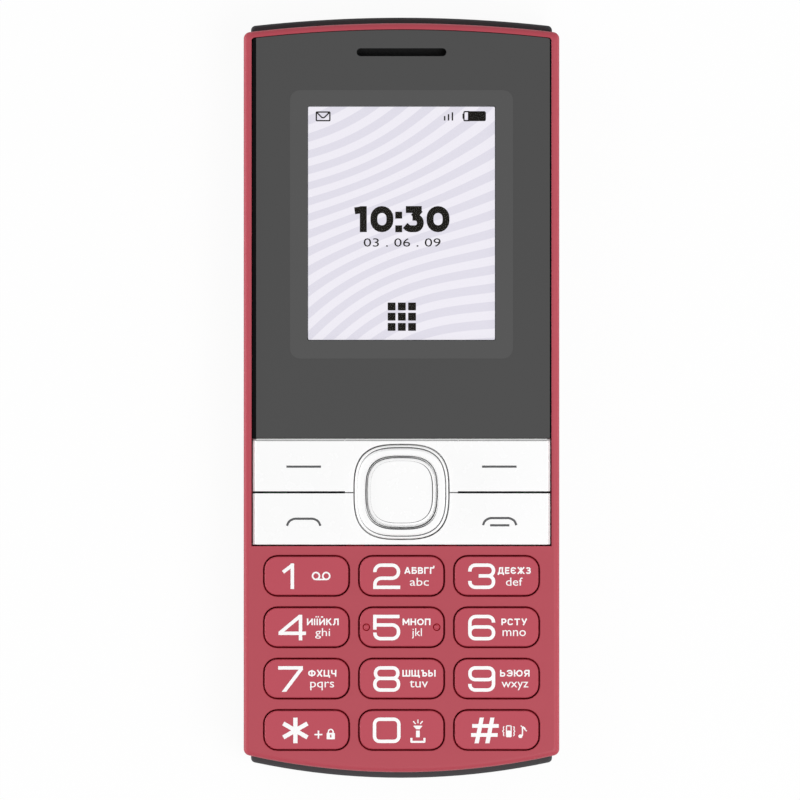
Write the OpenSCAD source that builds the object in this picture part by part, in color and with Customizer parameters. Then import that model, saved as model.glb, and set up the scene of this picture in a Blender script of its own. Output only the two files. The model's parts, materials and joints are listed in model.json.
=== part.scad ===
// Feature phone with a colour display, a one-piece function panel and twelve number keys.
// It lies on its back: +X across the face, +Y towards the earpiece, +Z out of the face.
// All sizes are in millimetres and the back face is at z = 0.

/* [Body] */
// Width across the long edges of the front housing
body_w = 47.5; // [46:0.5:56]
// Overall length, with both ends of the rear housing
body_l = 114.4; // [112:0.2:130]
// Height of the front face above the back
face_z = 13.6; // [13.2:0.1:17]
// Height of the joint between the two housings
split_z = 8.2; // [8:0.1:9]
// How far each end of the rear housing stands out past the front housing
end_step = 0.85; // [0.4:0.05:1.5]
// How far each side of the rear housing sits inside the front housing
side_step = 1.1; // [0.6:0.1:1.2]
// Radius of the arched earpiece end
top_arc_r = 200; // [120:5:400]
// Radius of the arched microphone end
bottom_arc_r = 106; // [80:2:300]
// Radius of the rounded front edge
front_edge_r = 0.8; // [0.3:0.1:1.2]
// Radius of the rounded back edge
back_edge_r = 3; // [2:0.5:3.5]
// Thickness of the housing walls
wall = 1.4; // [1.2:0.1:1.6]

/* [Display] */
// Red band left between the window and the earpiece end
window_band = 0.9; // [0.6:0.1:2]
// Red band left between the window and each long edge
side_band = 1.18; // [1.1:0.02:3]
// Lower edge of the display lens, from the microphone end of the front housing
lens_from_end = 50.25; // [49:0.05:52]
// Thickness of the display lens
lens_t = 1.05; // [0.8:0.05:1.2]
// Visible display area, across and along
screen_size = [28.1, 35.08];
// Middle of the visible display area, from the earpiece end of the front housing
screen_from_end = 30.09; // [29:0.01:32]
// Length and width of the earpiece slot
ear_slot = [13.5, 1.2];
// Middle of the earpiece slot, from the earpiece end of the front housing
ear_from_end = 4.35; // [4:0.05:5]

/* [Function panel] */
// Length of the function panel opening
panel_l = 16.22; // [16:0.02:18]
// Distance of each key's living hinge from the middle line
hinge_x = 8.5; // [8:0.1:10]
// Half width of the navigation ring
ring_a = 7.05; // [6:0.05:7.4]
// Half width of the hole in the navigation ring
ring_hole_a = 5.46; // [5:0.02:6]
// Exponent of the squared-off ring outline, where 2 is a circle
ring_n = 3; // [2:0.1:5]
// Height of the ring above the front face
ring_rise = 0.6; // [0.2:0.1:1]

/* [Number keys] */
// Size of a key opening, across and along
key_hole = [13.05, 6.25];
// Corner radius of a key opening
key_hole_r = 2.15; // [1:0.05:3]
// Gap all round between a key and its opening
key_gap = 0.22; // [0.1:0.02:0.3]
// Distance between key columns
col_pitch = 14.3; // [14.2:0.05:16]
// Distance between key rows
row_pitch = 7.73; // [7.6:0.01:9]
// Middle of the first key row, from the function panel opening
row_drop = 4.48; // [4.4:0.02:5]
// Height of the keys above the front face
key_rise = 0.35; // [0.1:0.05:1]
// How far a key moves when pressed
travel = 0.35; // [0.2:0.05:0.4]

/* [Back] */
// Battery size: across, along and thick
battery_size = [34, 53, 4.5];
// Lower end of the battery, from the microphone end of the rear housing
battery_from_end = 21.1; // [20.5:0.1:22]
// How far each side of the battery cover sits inside the rear housing
cover_inset = 1.75; // [1.7:0.05:2.4]
// How far the battery cover reaches past the battery
cover_lap = 10; // [8:0.1:11]
// Thickness of the battery cover
cover_t = 1.05; // [0.8:0.05:1.2]
// Distance of the housing screws from the long edges of the front housing
screw_inset = 4.35; // [4.2:0.05:4.5]

/* [Hidden] */
$fn = 48;

front_end = body_l / 2 - end_step;
rear_end = body_l / 2;
rear_hw = body_w / 2 - side_step;
beyond = rear_end + 3;

// Places along and across the phone, each from the end or edge that it belongs to
window_hw = body_w / 2 - side_band;
ear_y = front_end - ear_from_end;
screen_y = front_end - screen_from_end;
lens_y = lens_from_end - front_end;
panel_y = lens_y - panel_l;
row_y = panel_y - row_drop;
battery_y = battery_from_end - rear_end;
battery_y1 = battery_y + battery_size[1];
cover_hw = rear_hw - cover_inset;
cover_y = battery_y1 + cover_lap;
screw_x = body_w / 2 - screw_inset;

// Heights from the front face down
panel_top = face_z + 0.1;
panel_t = 1.2;
panel_z = panel_top - panel_t;
lens_top = face_z - 0.15;
lens_z = lens_top - lens_t;
tape_t = 0.1;
shelf_top = lens_z - tape_t;
shelf_z = shelf_top - 1.1;
deck_z = face_z - wall;
flange_top = deck_z - 0.05;
flange_z = flange_top - 0.65;

// Heights from the back up
recess_z = cover_t + 0.05;
ledge_z = recess_z + 1;
battery_z = recess_z + 0.1;
well_z = battery_z + battery_size[2] + 0.1;
floor_z = well_z + 0.8;
bay_z = 2.4;
board_z = floor_z + 0.9;
board_t = 0.9;
board_top = board_z + board_t;
sheet_t = 0.1;
dome_r = 1.9;
dome_h = 0.3;
dome_top = board_top + sheet_t + dome_h;
tip_z = dome_top + travel + 0.1;
mat_top = flange_z - travel - 0.35;
mat_z = mat_top - 0.6;

// Function panel: the ring rocks on the pad and the pad rocks on the panel's cross bars
panel_y1 = lens_y - 0.06;
panel_y0 = panel_y + 0.22;
nav_y = (panel_y0 + panel_y1) / 2 - 0.045;
slit_y = nav_y - 0.06;
slit = 0.24;
ring_z = panel_z - 0.9;
rib_r = 0.4;
ring_axis_z = ring_z - 0.2;
pad_top = ring_axis_z - rib_r;
pad_z = pad_top - 0.7;
pad_a = ring_a + 0.35;
bar_top = pad_z - rib_r;
nib_at = 4.6;
leaf_tip_x = 15;
leaf_y = [panel_y1 / 2 + nav_y / 2, panel_y0 / 2 + nav_y / 2];

// Display module and the opening that frames it
lcd_hw = screen_size[0] / 2 + 3.45;
lcd_y = span(screen_y, -screen_size[1] / 2 - 7.72, screen_size[1] / 2 + 3.6);
frame_hw = screen_size[0] / 2 + 2.73;
frame_y = span(screen_y, -screen_size[1] / 2 - 2.82, screen_size[1] / 2 + 2.5);

// Pieces behind the board
screw_y = [battery_y1 + 4.6, battery_y - 4.9];
hook_y = [for (i = [0:2]) battery_y + 10.1 + 16 * i];
hook_travel = 8;
sim_y = battery_y + 20.1;
can_y = battery_y1 + 7.5;
speaker_at = [-8, rear_end - 14.7];
motor_at = [13, 4.9];
motor_y = rear_end - 22.7;
port_z = board_z - 2.6;
jack_x = 13;
jack_r = 1.8;
jack_mouth = 2.2 - rear_end;
jack_l = 14;
port_y = [-beyond, 7.2 - rear_end];
led_z = 4.5;
led_y = rear_end - 1.6;

key_at = [for (r = [0:3]) for (c = [-1:1]) [c * col_pitch, row_y - r * row_pitch]];
leaf_at = [for (s = [-1, 1]) for (y = leaf_y) [s * leaf_tip_x, y]];
nav_at = [[0, nav_y], [nib_at, nav_y], [-nib_at, nav_y], [0, nav_y + nib_at], [0, nav_y - nib_at]];
dome_at = concat(key_at, leaf_at, nav_at);

// Two limits either side of a middle value
function span(c, a, b) = [c + a, c + b];

// Points along an arc; skip leaves out that many at each end
function fan(c, r, a0, a1, n, skip = 0) =
  [for (i = [skip:n - skip]) let (a = a0 + (a1 - a0) * i / n) c + r * [cos(a), sin(a)]];

// Upper part of the body outline: two rounded corners joined by an arch
function arch(hw, end, r, rc) = let (
    y = end - r,
    c = y + sqrt(pow(r - rc, 2) - pow(hw - rc, 2)),
    a = atan2(c - y, hw - rc))
  concat(fan([hw - rc, c], rc, 0, a, 5),
    fan([0, y], r, a, 180 - a, 20, 1),
    fan([rc - hw, c], rc, 180 - a, 180, 5));

// Whole body outline: straight sides and an arched end each way
function plan(hw, end, rt, rb, rc) =
  concat(arch(hw, end, rt, rc), [for (p = arch(hw, end, rb, rc)) -p]);

function front_plan(d, rc) =
  plan(body_w / 2 - d, front_end - d, top_arc_r - d, bottom_arc_r - d, rc);

function rear_plan(d, rc) =
  plan(rear_hw - d, rear_end - d, top_arc_r + end_step - d, bottom_arc_r + end_step - d, rc);

// Inside outline of the housings, at a gap from the front housing's inner wall
function inside(d, rc) = front_plan(wall + d, rc);

// Window outline: arched at the earpiece end and square at y0
function window(d, y0) =
  concat(arch(window_hw - d, front_end - window_band - d, top_arc_r - window_band - d, 0.5),
    [[d - window_hw, y0], [window_hw - d, y0]]);

function rounded(w, l, r) = concat(
  fan([w / 2 - r, l / 2 - r], r, 0, 90, 6), fan([r - w / 2, l / 2 - r], r, 90, 180, 6),
  fan([r - w / 2, r - l / 2], r, 180, 270, 6), fan([w / 2 - r, r - l / 2], r, 270, 360, 6));

function squared(a) = [for (i = [0:55]) let (c = cos(360 * i / 56), s = sin(360 * i / 56))
  a * [sign(c) * pow(abs(c), 2 / ring_n), sign(s) * pow(abs(s), 2 / ring_n)]];

// Solid through a stack of outlines, each given with its height
module loft(rings) {
  n = len(rings[0][0]);
  m = len(rings);
  polyhedron([for (ring = rings) for (p = ring[0]) [p[0], p[1], ring[1]]],
    concat([[for (i = [0:n - 1]) i]],
      [[for (i = [n - 1:-1:0]) (m - 1) * n + i]],
      [for (k = [0:m - 2]) for (i = [0:n - 1]) let (j = (i + 1) % n)
        [k * n + i, k * n + n + i, k * n + n + j, k * n + j]]));
}

module prism(points, z0, z1) translate([0, 0, z0]) linear_extrude(z1 - z0) polygon(points);

module box(x, y, z) translate([x[0], y[0], z[0]]) cube([x[1] - x[0], y[1] - y[0], z[1] - z[0]]);

module post(at, r, z0, z1) translate([at[0], at[1], z0]) cylinder(r = r, h = z1 - z0);

module along_y(x, z, r, y0, y1) translate([x, y1, z]) rotate([90, 0, 0]) cylinder(r = r, h = y1 - y0);

module along_x(y, z, r, x0, x1) translate([x0, y, z]) rotate([0, 90, 0]) cylinder(r = r, h = x1 - x0);

module pair() {
  children();
  mirror([1, 0, 0]) children();
}

module slot(at, size, z0, z1) translate([at[0], at[1], z0]) linear_extrude(z1 - z0) {
  square([size[0] - size[1], size[1]], center = true);
  for (s = [-1, 1]) translate([s * (size[0] - size[1]) / 2, 0]) circle(d = size[1]);
}

// Outer form of the front housing, with its rounded edges
module front_form() loft(concat(
  [[front_plan(0.35, 0.7), split_z], [front_plan(0.1, 0.9), split_z + 0.1],
    [front_plan(0, 1), split_z + 0.35]],
  [for (a = [0:18:90]) let (d = front_edge_r * (1 - cos(a)))
    [front_plan(d, 1 - d / 2), face_z - front_edge_r + front_edge_r * sin(a)]]));

// Outer form of the rear housing and its battery cover together
module rear_form() loft(concat(
  [for (a = [0:15:90]) let (d = back_edge_r * (1 - sin(a)))
    [rear_plan(d, 0.7 + d), back_edge_r * (1 - cos(a))]],
  [[rear_plan(0, 0.7), split_z - 0.3], [rear_plan(0.09, 0.7), split_z - 0.09],
    [rear_plan(0.3, 0.7), split_z]]));

// Red upper shell: side walls, lens shelf, key deck and screw bosses
module front_housing() color("#BA545F") difference() {
  union() {
    difference() {
      front_form();
      prism(inside(0, 0.6), split_z - 1, shelf_z);
      intersection() {
        prism(inside(0, 0.6), shelf_z - 0.5, deck_z);
        box([-body_w, body_w], [-beyond, lens_y], [0, face_z + 1]);
      }
      prism(window(0, lens_y), shelf_top, face_z + 1);
      box([-window_hw, window_hw], [panel_y, lens_y + 0.01], [shelf_z + 0.4, face_z + 1]);
      for (p = key_at) translate(p)
        prism(rounded(key_hole[0], key_hole[1], key_hole_r), deck_z - 0.5, face_z + 1);
      translate([0, frame_y[0] / 2 + frame_y[1] / 2])
        prism(rounded(2 * frame_hw, frame_y[1] - frame_y[0], 1.5), shelf_z - 1, face_z);
      slot([0, ear_y], ear_slot, shelf_z - 1, face_z);
    }
    pair() {
      post([screw_x, screw_y[0]], 1.7, board_top, shelf_z + 0.3);
      post([screw_x, screw_y[1]], 1.7, board_top, board_top + 2.5);
      box([screw_x, body_w / 2 - wall + 0.2], span(screw_y[1], -0.6, 0.6), span(board_top, 0.8, 2.5));
    }
  }
  for (y = screw_y) pair() post([screw_x, y], 0.7, board_top - 1, board_top + 2.2);
}

// Dark lower shell: battery well, two bays, cover ledge and joint lip
module rear_housing() color("#3E3E3F") difference() {
  union() {
    difference() {
      union() {
        rear_form();
        prism(inside(0.15, 0.6), split_z - 0.5, split_z + 0.8);
      }
      prism(inside(1.05, 0.6), floor_z, split_z + 2);
      box([-cover_hw - 0.1, cover_hw + 0.1], [-beyond, cover_y + 0.1], [-1, recess_z]);
      box([-1, 1] * (battery_size[0] / 2 + 0.25), span(battery_y, -0.2, battery_size[1] + 0.3), [-1, well_z]);
      pair() box([battery_size[0] / 2 + 1.1, rear_hw - 1.45], [battery_y + 0.1, battery_y1 - 0.9],
        [ledge_z, floor_z + 1]);
      intersection() {
        prism(inside(1.9, 0.6), bay_z, split_z + 2);
        union() {
          box([-body_w, body_w], [-beyond, battery_y - 2.1], [0, face_z]);
          box([-body_w, body_w], [battery_y1 + 7.1, beyond], [0, face_z]);
        }
      }
      // SIM socket and battery connector windows
      box([-12.8, 12.8], span(sim_y, -0.3, 16.3), [well_z - 1, floor_z + 1]);
      box([5.8, 14.2], span(battery_y1, 0.2, 4.3), [3.3, floor_z + 1]);
      // Loudspeaker seat and its sound slots
      post(speaker_at, 8.15, 1.3, bay_z + 1);
      for (i = [-2:2]) slot(speaker_at + [0, 2.2 * i], [10 - abs(i), 1], -1, 2);
      // Torch, charging port, headset and microphone openings
      along_y(0, led_z, 1.62, led_y - 5.6, beyond);
      box([-4.05, 4.05], port_y, [port_z - 0.15, board_z + 0.2]);
      along_y(jack_x, port_z, 2.6, port_y[0], port_y[1]);
      box(span(jack_x, -3.2, 3.2), span(jack_mouth, -0.1, jack_l + 0.1), [port_z - 2.7, split_z + 2]);
      box([-9.6, -8.4], port_y, span(board_z, -1.2, -0.6));
    }
    pair() {
      post([screw_x, screw_y[0]], 2.1, floor_z - 1, board_z);
      post([screw_x, screw_y[1]], 2.1, bay_z - 0.4, board_z);
      for (y = span(battery_y, 11.1, 48.1)) post([15.5, y], 0.9, floor_z - 0.4, board_z);
    }
    difference() {
      post(speaker_at, 9.1, bay_z - 0.4, 4.6);
      post(speaker_at, 8.15, 1, 6);
    }
    difference() {
      box(span(motor_at[0], -2.9, 2.9), span(motor_y, 1.5, 7.5), [bay_z - 0.4, motor_at[1] + 0.4]);
      along_y(motor_at[0], motor_at[1], 2.05, motor_y - 4.5, motor_y + 15.5);
    }
  }
  for (y = screw_y) pair() {
    post([screw_x, y], 1.45, recess_z - 0.5, ledge_z);
    post([screw_x, y], 0.8, ledge_z - 0.5, board_z + 1);
  }
  for (y = hook_y) pair()
    box(span(cover_hw, -2.1, -0.9), [y - hook_travel - 0.1, y + 3.1], [recess_z - 0.5, ledge_z + 0.5]);
}

// Sliding cover with hooks that catch under the ledge, and shallow finger grooves
module battery_cover() color("#3A3A3B") {
  difference() {
    intersection() {
      rear_form();
      box([-cover_hw, cover_hw], [-beyond, cover_y], [-1, cover_t]);
    }
    for (i = [-2:2]) slot([0, cover_y - 12.9 + 2 * i], [16 - 2 * abs(i), 0.9], -1, 0.3);
  }
  for (y = hook_y) pair() {
    box(span(cover_hw, -2, -1), [y, y + 3], [cover_t - 0.3, ledge_z + 0.8]);
    box(span(cover_hw, -2, -1), [y + 2.5, y + 4.6], span(ledge_z, 0.1, 0.8));
  }
}

module battery() color("#C9CCD0") {
  y1 = battery_y1;
  translate([0, y1 - 3.5, 0]) rotate([90, 0, 0]) linear_extrude(battery_size[1] - 3.5)
    translate([0, battery_z + battery_size[2] / 2])
      polygon(rounded(battery_size[0], battery_size[2], 1.2));
  box([-1, 1] * (battery_size[0] / 2 - 0.6), [y1 - 3.6, y1], span(battery_z, 0.2, battery_size[2] - 0.2));
}

module display_lens() color("#1C1C1E") difference() {
  loft([[window(0.1, lens_y + 0.02), lens_z], [window(0.1, lens_y + 0.02), lens_top - 0.12],
    [window(0.22, lens_y + 0.1), lens_top]]);
  slot([0, ear_y], ear_slot, lens_z - 1, face_z);
}

module lens_tape() color("#2A2A2A") difference() {
  prism(window(0.6, lens_y + 0.6), shelf_top, lens_z);
  translate([0, frame_y[0] / 2 + frame_y[1] / 2])
    prism(rounded(2 * frame_hw + 1.2, frame_y[1] - frame_y[0] + 1.2, 2), shelf_top - 1, face_z);
  slot([0, ear_y], ear_slot + [1.2, 1.2], shelf_top - 1, face_z);
}

module earpiece_mesh() color("#151515") slot([0, ear_y], ear_slot + [1.6, 1.2], shelf_z - 0.15, shelf_z);

module lcd_panel() color("#C9C6D2") box([-1, 1] * (lcd_hw - 1.7), [lcd_y[0] + 3.2, lcd_y[1] - 1.8],
  span(board_top, 1.1, 2.15));

// Tray that carries the panel, with a bezel round the visible area
module lcd_frame() color("#6A6A6C") difference() {
  box([-lcd_hw, lcd_hw], lcd_y, [board_top, shelf_z - 0.3]);
  box([-1, 1] * (lcd_hw - 1.5), [lcd_y[0] + 3, lcd_y[1] - 1.6], span(board_top, 0.8, 2.2));
  translate([0, screen_y])
    prism(rounded(screen_size[0], screen_size[1], 0.2), board_top + 2, face_z);
}

// Ribbon from the display module to its socket on the board
module lcd_flex() color("#B8792E") {
  box([-6, 6], span(lcd_y[0], -5.6, -3.4), span(board_top, 0, 1));
  box([-5, 5], span(lcd_y[0], -5.2, 0), span(board_top, 0.9, 1.1));
}

module display_gasket() color("#242424") translate([0, frame_y[0] / 2 + frame_y[1] / 2]) difference() {
  prism(rounded(2 * lcd_hw, frame_y[1] - frame_y[0] + 1.6, 2), shelf_z - 0.3, shelf_z);
  prism(rounded(2 * frame_hw + 0.3, frame_y[1] - frame_y[0] + 0.3, 1.6), shelf_z - 1, face_z);
}

module main_board() color("#2F6B46") difference() {
  prism(inside(1.5, 1), board_z, board_top);
  for (y = screw_y) pair() post([screw_x, y], 0.9, board_z - 1, board_top + 1);
}

module shield_can() color("#B9BCBF") difference() {
  box([-10.5, 10.5], span(can_y, 0, 8), [board_z - 1.8, board_z]);
  box([-10.3, 10.3], span(can_y, 0.2, 7.8), [board_z - 1.6, board_z + 1]);
  for (x = [-7.5:5:7.5], y = span(can_y, 2.1, 5.9)) post([x, y], 0.5, 0, board_z);
}

// Clear film with a metal snap dome under every key
module dome_sheet() color("#D5D7D2") {
  box([-1, 1] * (col_pitch + 2.9), [key_at[9][1] - 2.2, lens_y - 0.9], span(board_top, 0, sheet_t));
  for (p = dome_at) translate([p[0], p[1], board_top + sheet_t / 2])
    cylinder(h = dome_h + sheet_t / 2, r1 = dome_r, r2 = 1.1);
}

// Silicone sheet with a skirt that stands on the board and an opening for each plunger
module keypad_mat() color("#D9D9D6") difference() {
  y = [key_at[9][1] - 2.51, row_y + 3.6];
  w = 2 * col_pitch + 5.2;
  translate([0, y[0] / 2 + y[1] / 2]) difference() {
    prism(rounded(w, y[1] - y[0], 2), board_top + sheet_t, mat_top);
    prism(rounded(w - 1, y[1] - y[0] - 1, 1.5), board_top - 1, mat_z);
  }
  for (p = key_at) post(p, 1.75, board_top, face_z);
}

// Fixed middle of the function panel: a plate on four legs, with snap tabs and cross bars
module panel_frame() color("#F2F2F2") difference() {
  union() {
    box([-hinge_x, hinge_x], [panel_y0, panel_y1], [panel_z, panel_top]);
    pair() for (e = [[panel_y1 - 0.75, panel_y1], [panel_y0, panel_y0 + 0.75]])
      box([5.6, 8.3], e, [bar_top - 0.7, panel_z + 0.2]);
    pair() box([5.6, 8.3], [panel_y1 - 0.5, panel_y1 + 2], span(shelf_z, -0.8, -0.05));
    pair() box([5.6, 8.3], [panel_y0 - 0.9, panel_y0 + 0.5], span(deck_z, -0.75, -0.05));
    for (y = [panel_y1 - 0.85, panel_y0 + 0.85])
      box([-8.3, 8.3], span(y, -0.85, 0.85), span(bar_top, -0.7, 0));
  }
  translate([0, nav_y]) prism(squared(ring_a + 0.2), panel_z - 0.3, face_z + 1);
}

// White key joined to the panel frame by a thin edge, with a relief angle below it
module leaf_key(up) {
  y = up ? [slit_y + slit / 2, panel_y1] : [panel_y0, slit_y - slit / 2];
  out = window_hw - 0.21;
  translate([0, y[1], 0]) rotate([90, 0, 0]) linear_extrude(y[1] - y[0])
    polygon([[hinge_x + 0.03, panel_top], [out - 0.42, panel_top], [out, panel_top - 0.42],
      [out, panel_z], [hinge_x + 0.25, panel_z]]);
  post([leaf_tip_x, leaf_y[up ? 0 : 1]], 1.2, tip_z, panel_z + 0.2);
}

module left_soft_key() color("#F4F4F4") mirror([1, 0, 0]) leaf_key(true);

module right_soft_key() color("#F4F4F4") leaf_key(true);

module call_key() color("#F4F4F4") mirror([1, 0, 0]) leaf_key(false);

module end_key() color("#F4F4F4") leaf_key(false);

// Silicone rocker under the ring: two ribs to rock on and four pressing nibs
module navigation_pad() color("#DADAD6") translate([0, nav_y]) {
  difference() {
    prism(squared(pad_a), pad_z, pad_top);
    post([0, 0], 2.2, pad_z - 1, pad_top + 1);
  }
  for (p = [[nib_at, 0], [-nib_at, 0], [0, nib_at], [0, -nib_at]]) post(p, 0.8, tip_z - 0.2, pad_z + 0.2);
  for (y = [5.9, -pad_a + 0.1]) along_y(0, pad_z, rib_r, y, y + pad_a - 6);
}

module navigation_ring() color("#F4F4F4") translate([0, nav_y]) {
  top = face_z + ring_rise;
  difference() {
    union() {
      loft([[squared(ring_a), ring_z], [squared(ring_a), top - 0.45],
        [squared(ring_a - 0.12), top - 0.15], [squared(ring_a - 0.42), top]]);
      prism(squared(ring_a + 0.6), ring_z, ring_z + 0.35);
    }
    prism(squared(ring_hole_a), ring_z, top + 1);
    prism(squared(ring_hole_a + 0.54), ring_z - 1, ring_z + 1);
  }
  for (x = [6.3, -pad_a]) {
    along_x(0, ring_axis_z, rib_r, x, x + pad_a - 6.3);
    box([x, x + pad_a - 6.3], [-rib_r, rib_r], [ring_axis_z, ring_z + 0.2]);
  }
}

module ok_key() color("#F4F4F4") translate([0, nav_y]) {
  a = ring_hole_a - 0.35;
  top = face_z + ring_rise - 0.1;
  loft([[squared(a), ring_z + 0.3], [squared(a), top - 0.5], [squared(a - 0.15), top - 0.2],
    [squared(a - 0.45), top - 0.05], [squared(a - 0.85), top]]);
  prism(squared(ring_hole_a + 0.29), ring_z + 0.15, ring_z + 0.6);
  post([0, 0], 1.5, tip_z, ring_z + 0.5);
}

// Key cap with a retaining flange under the deck and a plunger over its dome
module number_key(i) color("#C0525F") translate(key_at[i]) {
  w = key_hole[0] - 2 * key_gap;
  l = key_hole[1] - 2 * key_gap;
  r = key_hole_r - key_gap;
  top = face_z + key_rise;
  loft([[rounded(w, l, r), flange_z + 0.2], [rounded(w, l, r), top - 0.22],
    [rounded(w - 0.08, l - 0.08, r - 0.04), top - 0.08],
    [rounded(w - 0.26, l - 0.26, r - 0.13), top]]);
  intersection() {
    prism(rounded(w + 1.1, l + 1, r + 0.5), flange_z, flange_top);
    translate(-key_at[i]) prism(inside(0.15, 0.6), flange_z - 1, flange_top + 1);
  }
  post([0, 0], 1.4, tip_z, flange_z + 0.2);
}

module key_1() number_key(0);
module key_2() number_key(1);
module key_3() number_key(2);
module key_4() number_key(3);
module key_6() number_key(5);
module key_7() number_key(6);
module key_8() number_key(7);
module key_9() number_key(8);
module key_star() number_key(9);
module key_0() number_key(10);
module key_hash() number_key(11);

// The middle key has two raised dots to find it by touch, each in a round groove
module key_5() {
  dots = [for (x = [-5.3, 5.3]) [x, key_at[4][1], face_z + key_rise]];
  difference() {
    number_key(4);
    for (p = dots) translate(p - [0, 0, 0.25]) difference() {
      cylinder(h = 1, r = 0.57);
      translate([0, 0, -1]) cylinder(h = 3, r = 0.4);
    }
  }
  color("#C0525F") for (p = dots) translate(p - [0, 0, 0.15]) cylinder(h = 0.3, r1 = 0.4, r2 = 0.2);
}

module earpiece_receiver() color("#8C8F92") translate([0, ear_y - 0.7]) {
  prism(rounded(11, 5.6, 2.4), shelf_z - 2.2, shelf_z - 0.8);
  prism(rounded(10, 4.6, 2), shelf_z - 1, shelf_z - 0.15);
  for (x = [-4, 4]) box([x - 0.5, x + 0.5], [-0.5, 0.5], [board_top, shelf_z - 2]);
}

module loudspeaker() color("#55585A") {
  post(speaker_at, 8, 1.4, 3.2);
  post(speaker_at, 5.4, 3, 4.8);
  for (x = [-2, 2]) translate([speaker_at[0] + x, speaker_at[1] + 6])
    box([-0.5, 0.5], [-0.5, 0.5], [3, board_z]);
}

module microphone() color("#B0B2B4") post([-9, 7 - rear_end], 2, board_z - 1.4, board_z);

module vibration_motor() color("#A9ACAF") {
  difference() {
    along_y(motor_at[0], motor_at[1], 2, motor_y, motor_y + 9);
    along_y(motor_at[0], motor_at[1], 0.7, motor_y + 2.5, motor_y + 9.5);
  }
  for (x = [-0.8, 0.8])
    box(span(motor_at[0] + x, -0.3, 0.3), span(motor_y, 0.5, 2), [motor_at[1] + 1, board_z]);
}

// Shaft with its off-centre weight
module vibration_weight() color("#7E8184") {
  along_y(motor_at[0], motor_at[1], 0.4, motor_y + 3.5, motor_y + 13.7);
  translate([motor_at[0], motor_y + 13.7, motor_at[1]]) rotate([90, 0, 0]) linear_extrude(3.6)
    difference() {
      circle(2.2);
      translate([-3, 0.6]) square([6, 3]);
    }
}

module torch_led() color("#E8ECEE") {
  along_y(0, led_z, 1.5, led_y - 3.6, led_y);
  translate([0, led_y, led_z]) sphere(1.5);
  along_y(0, led_z, 1.9, led_y - 4.4, led_y - 3.4);
  for (x = [-0.9, 0.9]) {
    box(span(x, -0.25, 0.25), span(led_y, -5.2, -4.2), span(led_z, -0.25, 0.25));
    box(span(x, -0.25, 0.25), span(led_y, -5.2, -4.7), [led_z, board_z]);
  }
}

// Charging socket: folded metal shell with a plastic tongue inside
module usb_connector() color("#B4B7BA") {
  z = board_z - 1.25;
  translate([0, 6.3 - rear_end, z]) rotate([90, 0, 0]) difference() {
    linear_extrude(5.3) polygon([[-3.75, 1.25], [-3.75, -0.35], [-2.8, -1.25], [2.8, -1.25],
      [3.75, -0.35], [3.75, 1.25]]);
    translate([0, 0, 0.5]) linear_extrude(6) polygon([[-3.45, 0.95], [-3.45, -0.25],
      [-2.65, -0.95], [2.65, -0.95], [3.45, -0.25], [3.45, 0.95]]);
  }
  box([-1.9, 1.9], span(-rear_end, 2, 6), span(z, 0.15, 0.75));
}

module headset_jack() color("#262627") difference() {
  box(span(jack_x, -3.1, 3.1), span(jack_mouth, 0, jack_l), [port_z - 2.6, board_z]);
  along_y(jack_x, port_z, jack_r, jack_mouth - 1, jack_mouth + jack_l - 1);
}

module sim_socket() color("#A7AAAD") difference() {
  box([-12.5, 12.5], span(sim_y, 0, 16), [well_z + 0.05, board_z]);
  box([-11.8, 11.8], span(sim_y, 0.6, 17), span(well_z, 0.3, 1.15));
  box([-8, 8], span(sim_y, 3.5, 13), span(well_z, -1, 0.6));
}

// Block with three sprung blades that press on the battery's end
module battery_connector() color("#2B2B2C") {
  box([6, 14], span(battery_y1, 0.6, 4.1), [3.5, board_z]);
  for (x = [7.6, 10, 12.4]) box(span(x, -0.4, 0.4), span(battery_y1, 0.05, 1), [3.9, well_z - 0.2]);
}

module antenna() color("#C08A3E") {
  difference() {
    box([-18.5, -5.5], span(-rear_end, 7.2, 12.6), span(bay_z, 0, 0.2));
    for (i = [0:3]) box(span(3 * i, -17, -16),
      i % 2 == 0 ? span(-rear_end, 8.2, 13.2) : span(-rear_end, 6.2, 11.6), [0, 5]);
  }
  for (x = [-7.8, -6]) box(span(x, -0.4, 0.4), span(-rear_end, 12.3, 12.6), [bay_z, board_z]);
}

// Four identical screws that clamp the board between the housings
module housing_screws() color("#8E9194") for (y = screw_y) pair() difference() {
  union() {
    post([screw_x, y], 1.3, ledge_z - 0.9, ledge_z);
    post([screw_x, y], 0.62, ledge_z - 0.2, board_top + 1.9);
  }
  for (a = [0, 90]) translate([screw_x, y]) rotate(a)
    box([-0.75, 0.75], [-0.15, 0.15], span(ledge_z, -1, -0.5));
}

front_housing();
rear_housing();
battery_cover();
battery();
display_lens();
lens_tape();
earpiece_mesh();
lcd_panel();
lcd_frame();
lcd_flex();
display_gasket();
main_board();
shield_can();
dome_sheet();
keypad_mat();
panel_frame();
left_soft_key();
right_soft_key();
call_key();
end_key();
navigation_pad();
navigation_ring();
ok_key();
key_1();
key_2();
key_3();
key_4();
key_5();
key_6();
key_7();
key_8();
key_9();
key_star();
key_0();
key_hash();
earpiece_receiver();
loudspeaker();
microphone();
vibration_motor();
vibration_weight();
torch_led();
usb_connector();
headset_jack();
sim_socket();
battery_connector();
antenna();
housing_screws();
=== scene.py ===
import json
from math import radians, cos, sin, atan2, tan, pi

import bmesh
import bpy
from mathutils import Matrix, Vector

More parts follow.
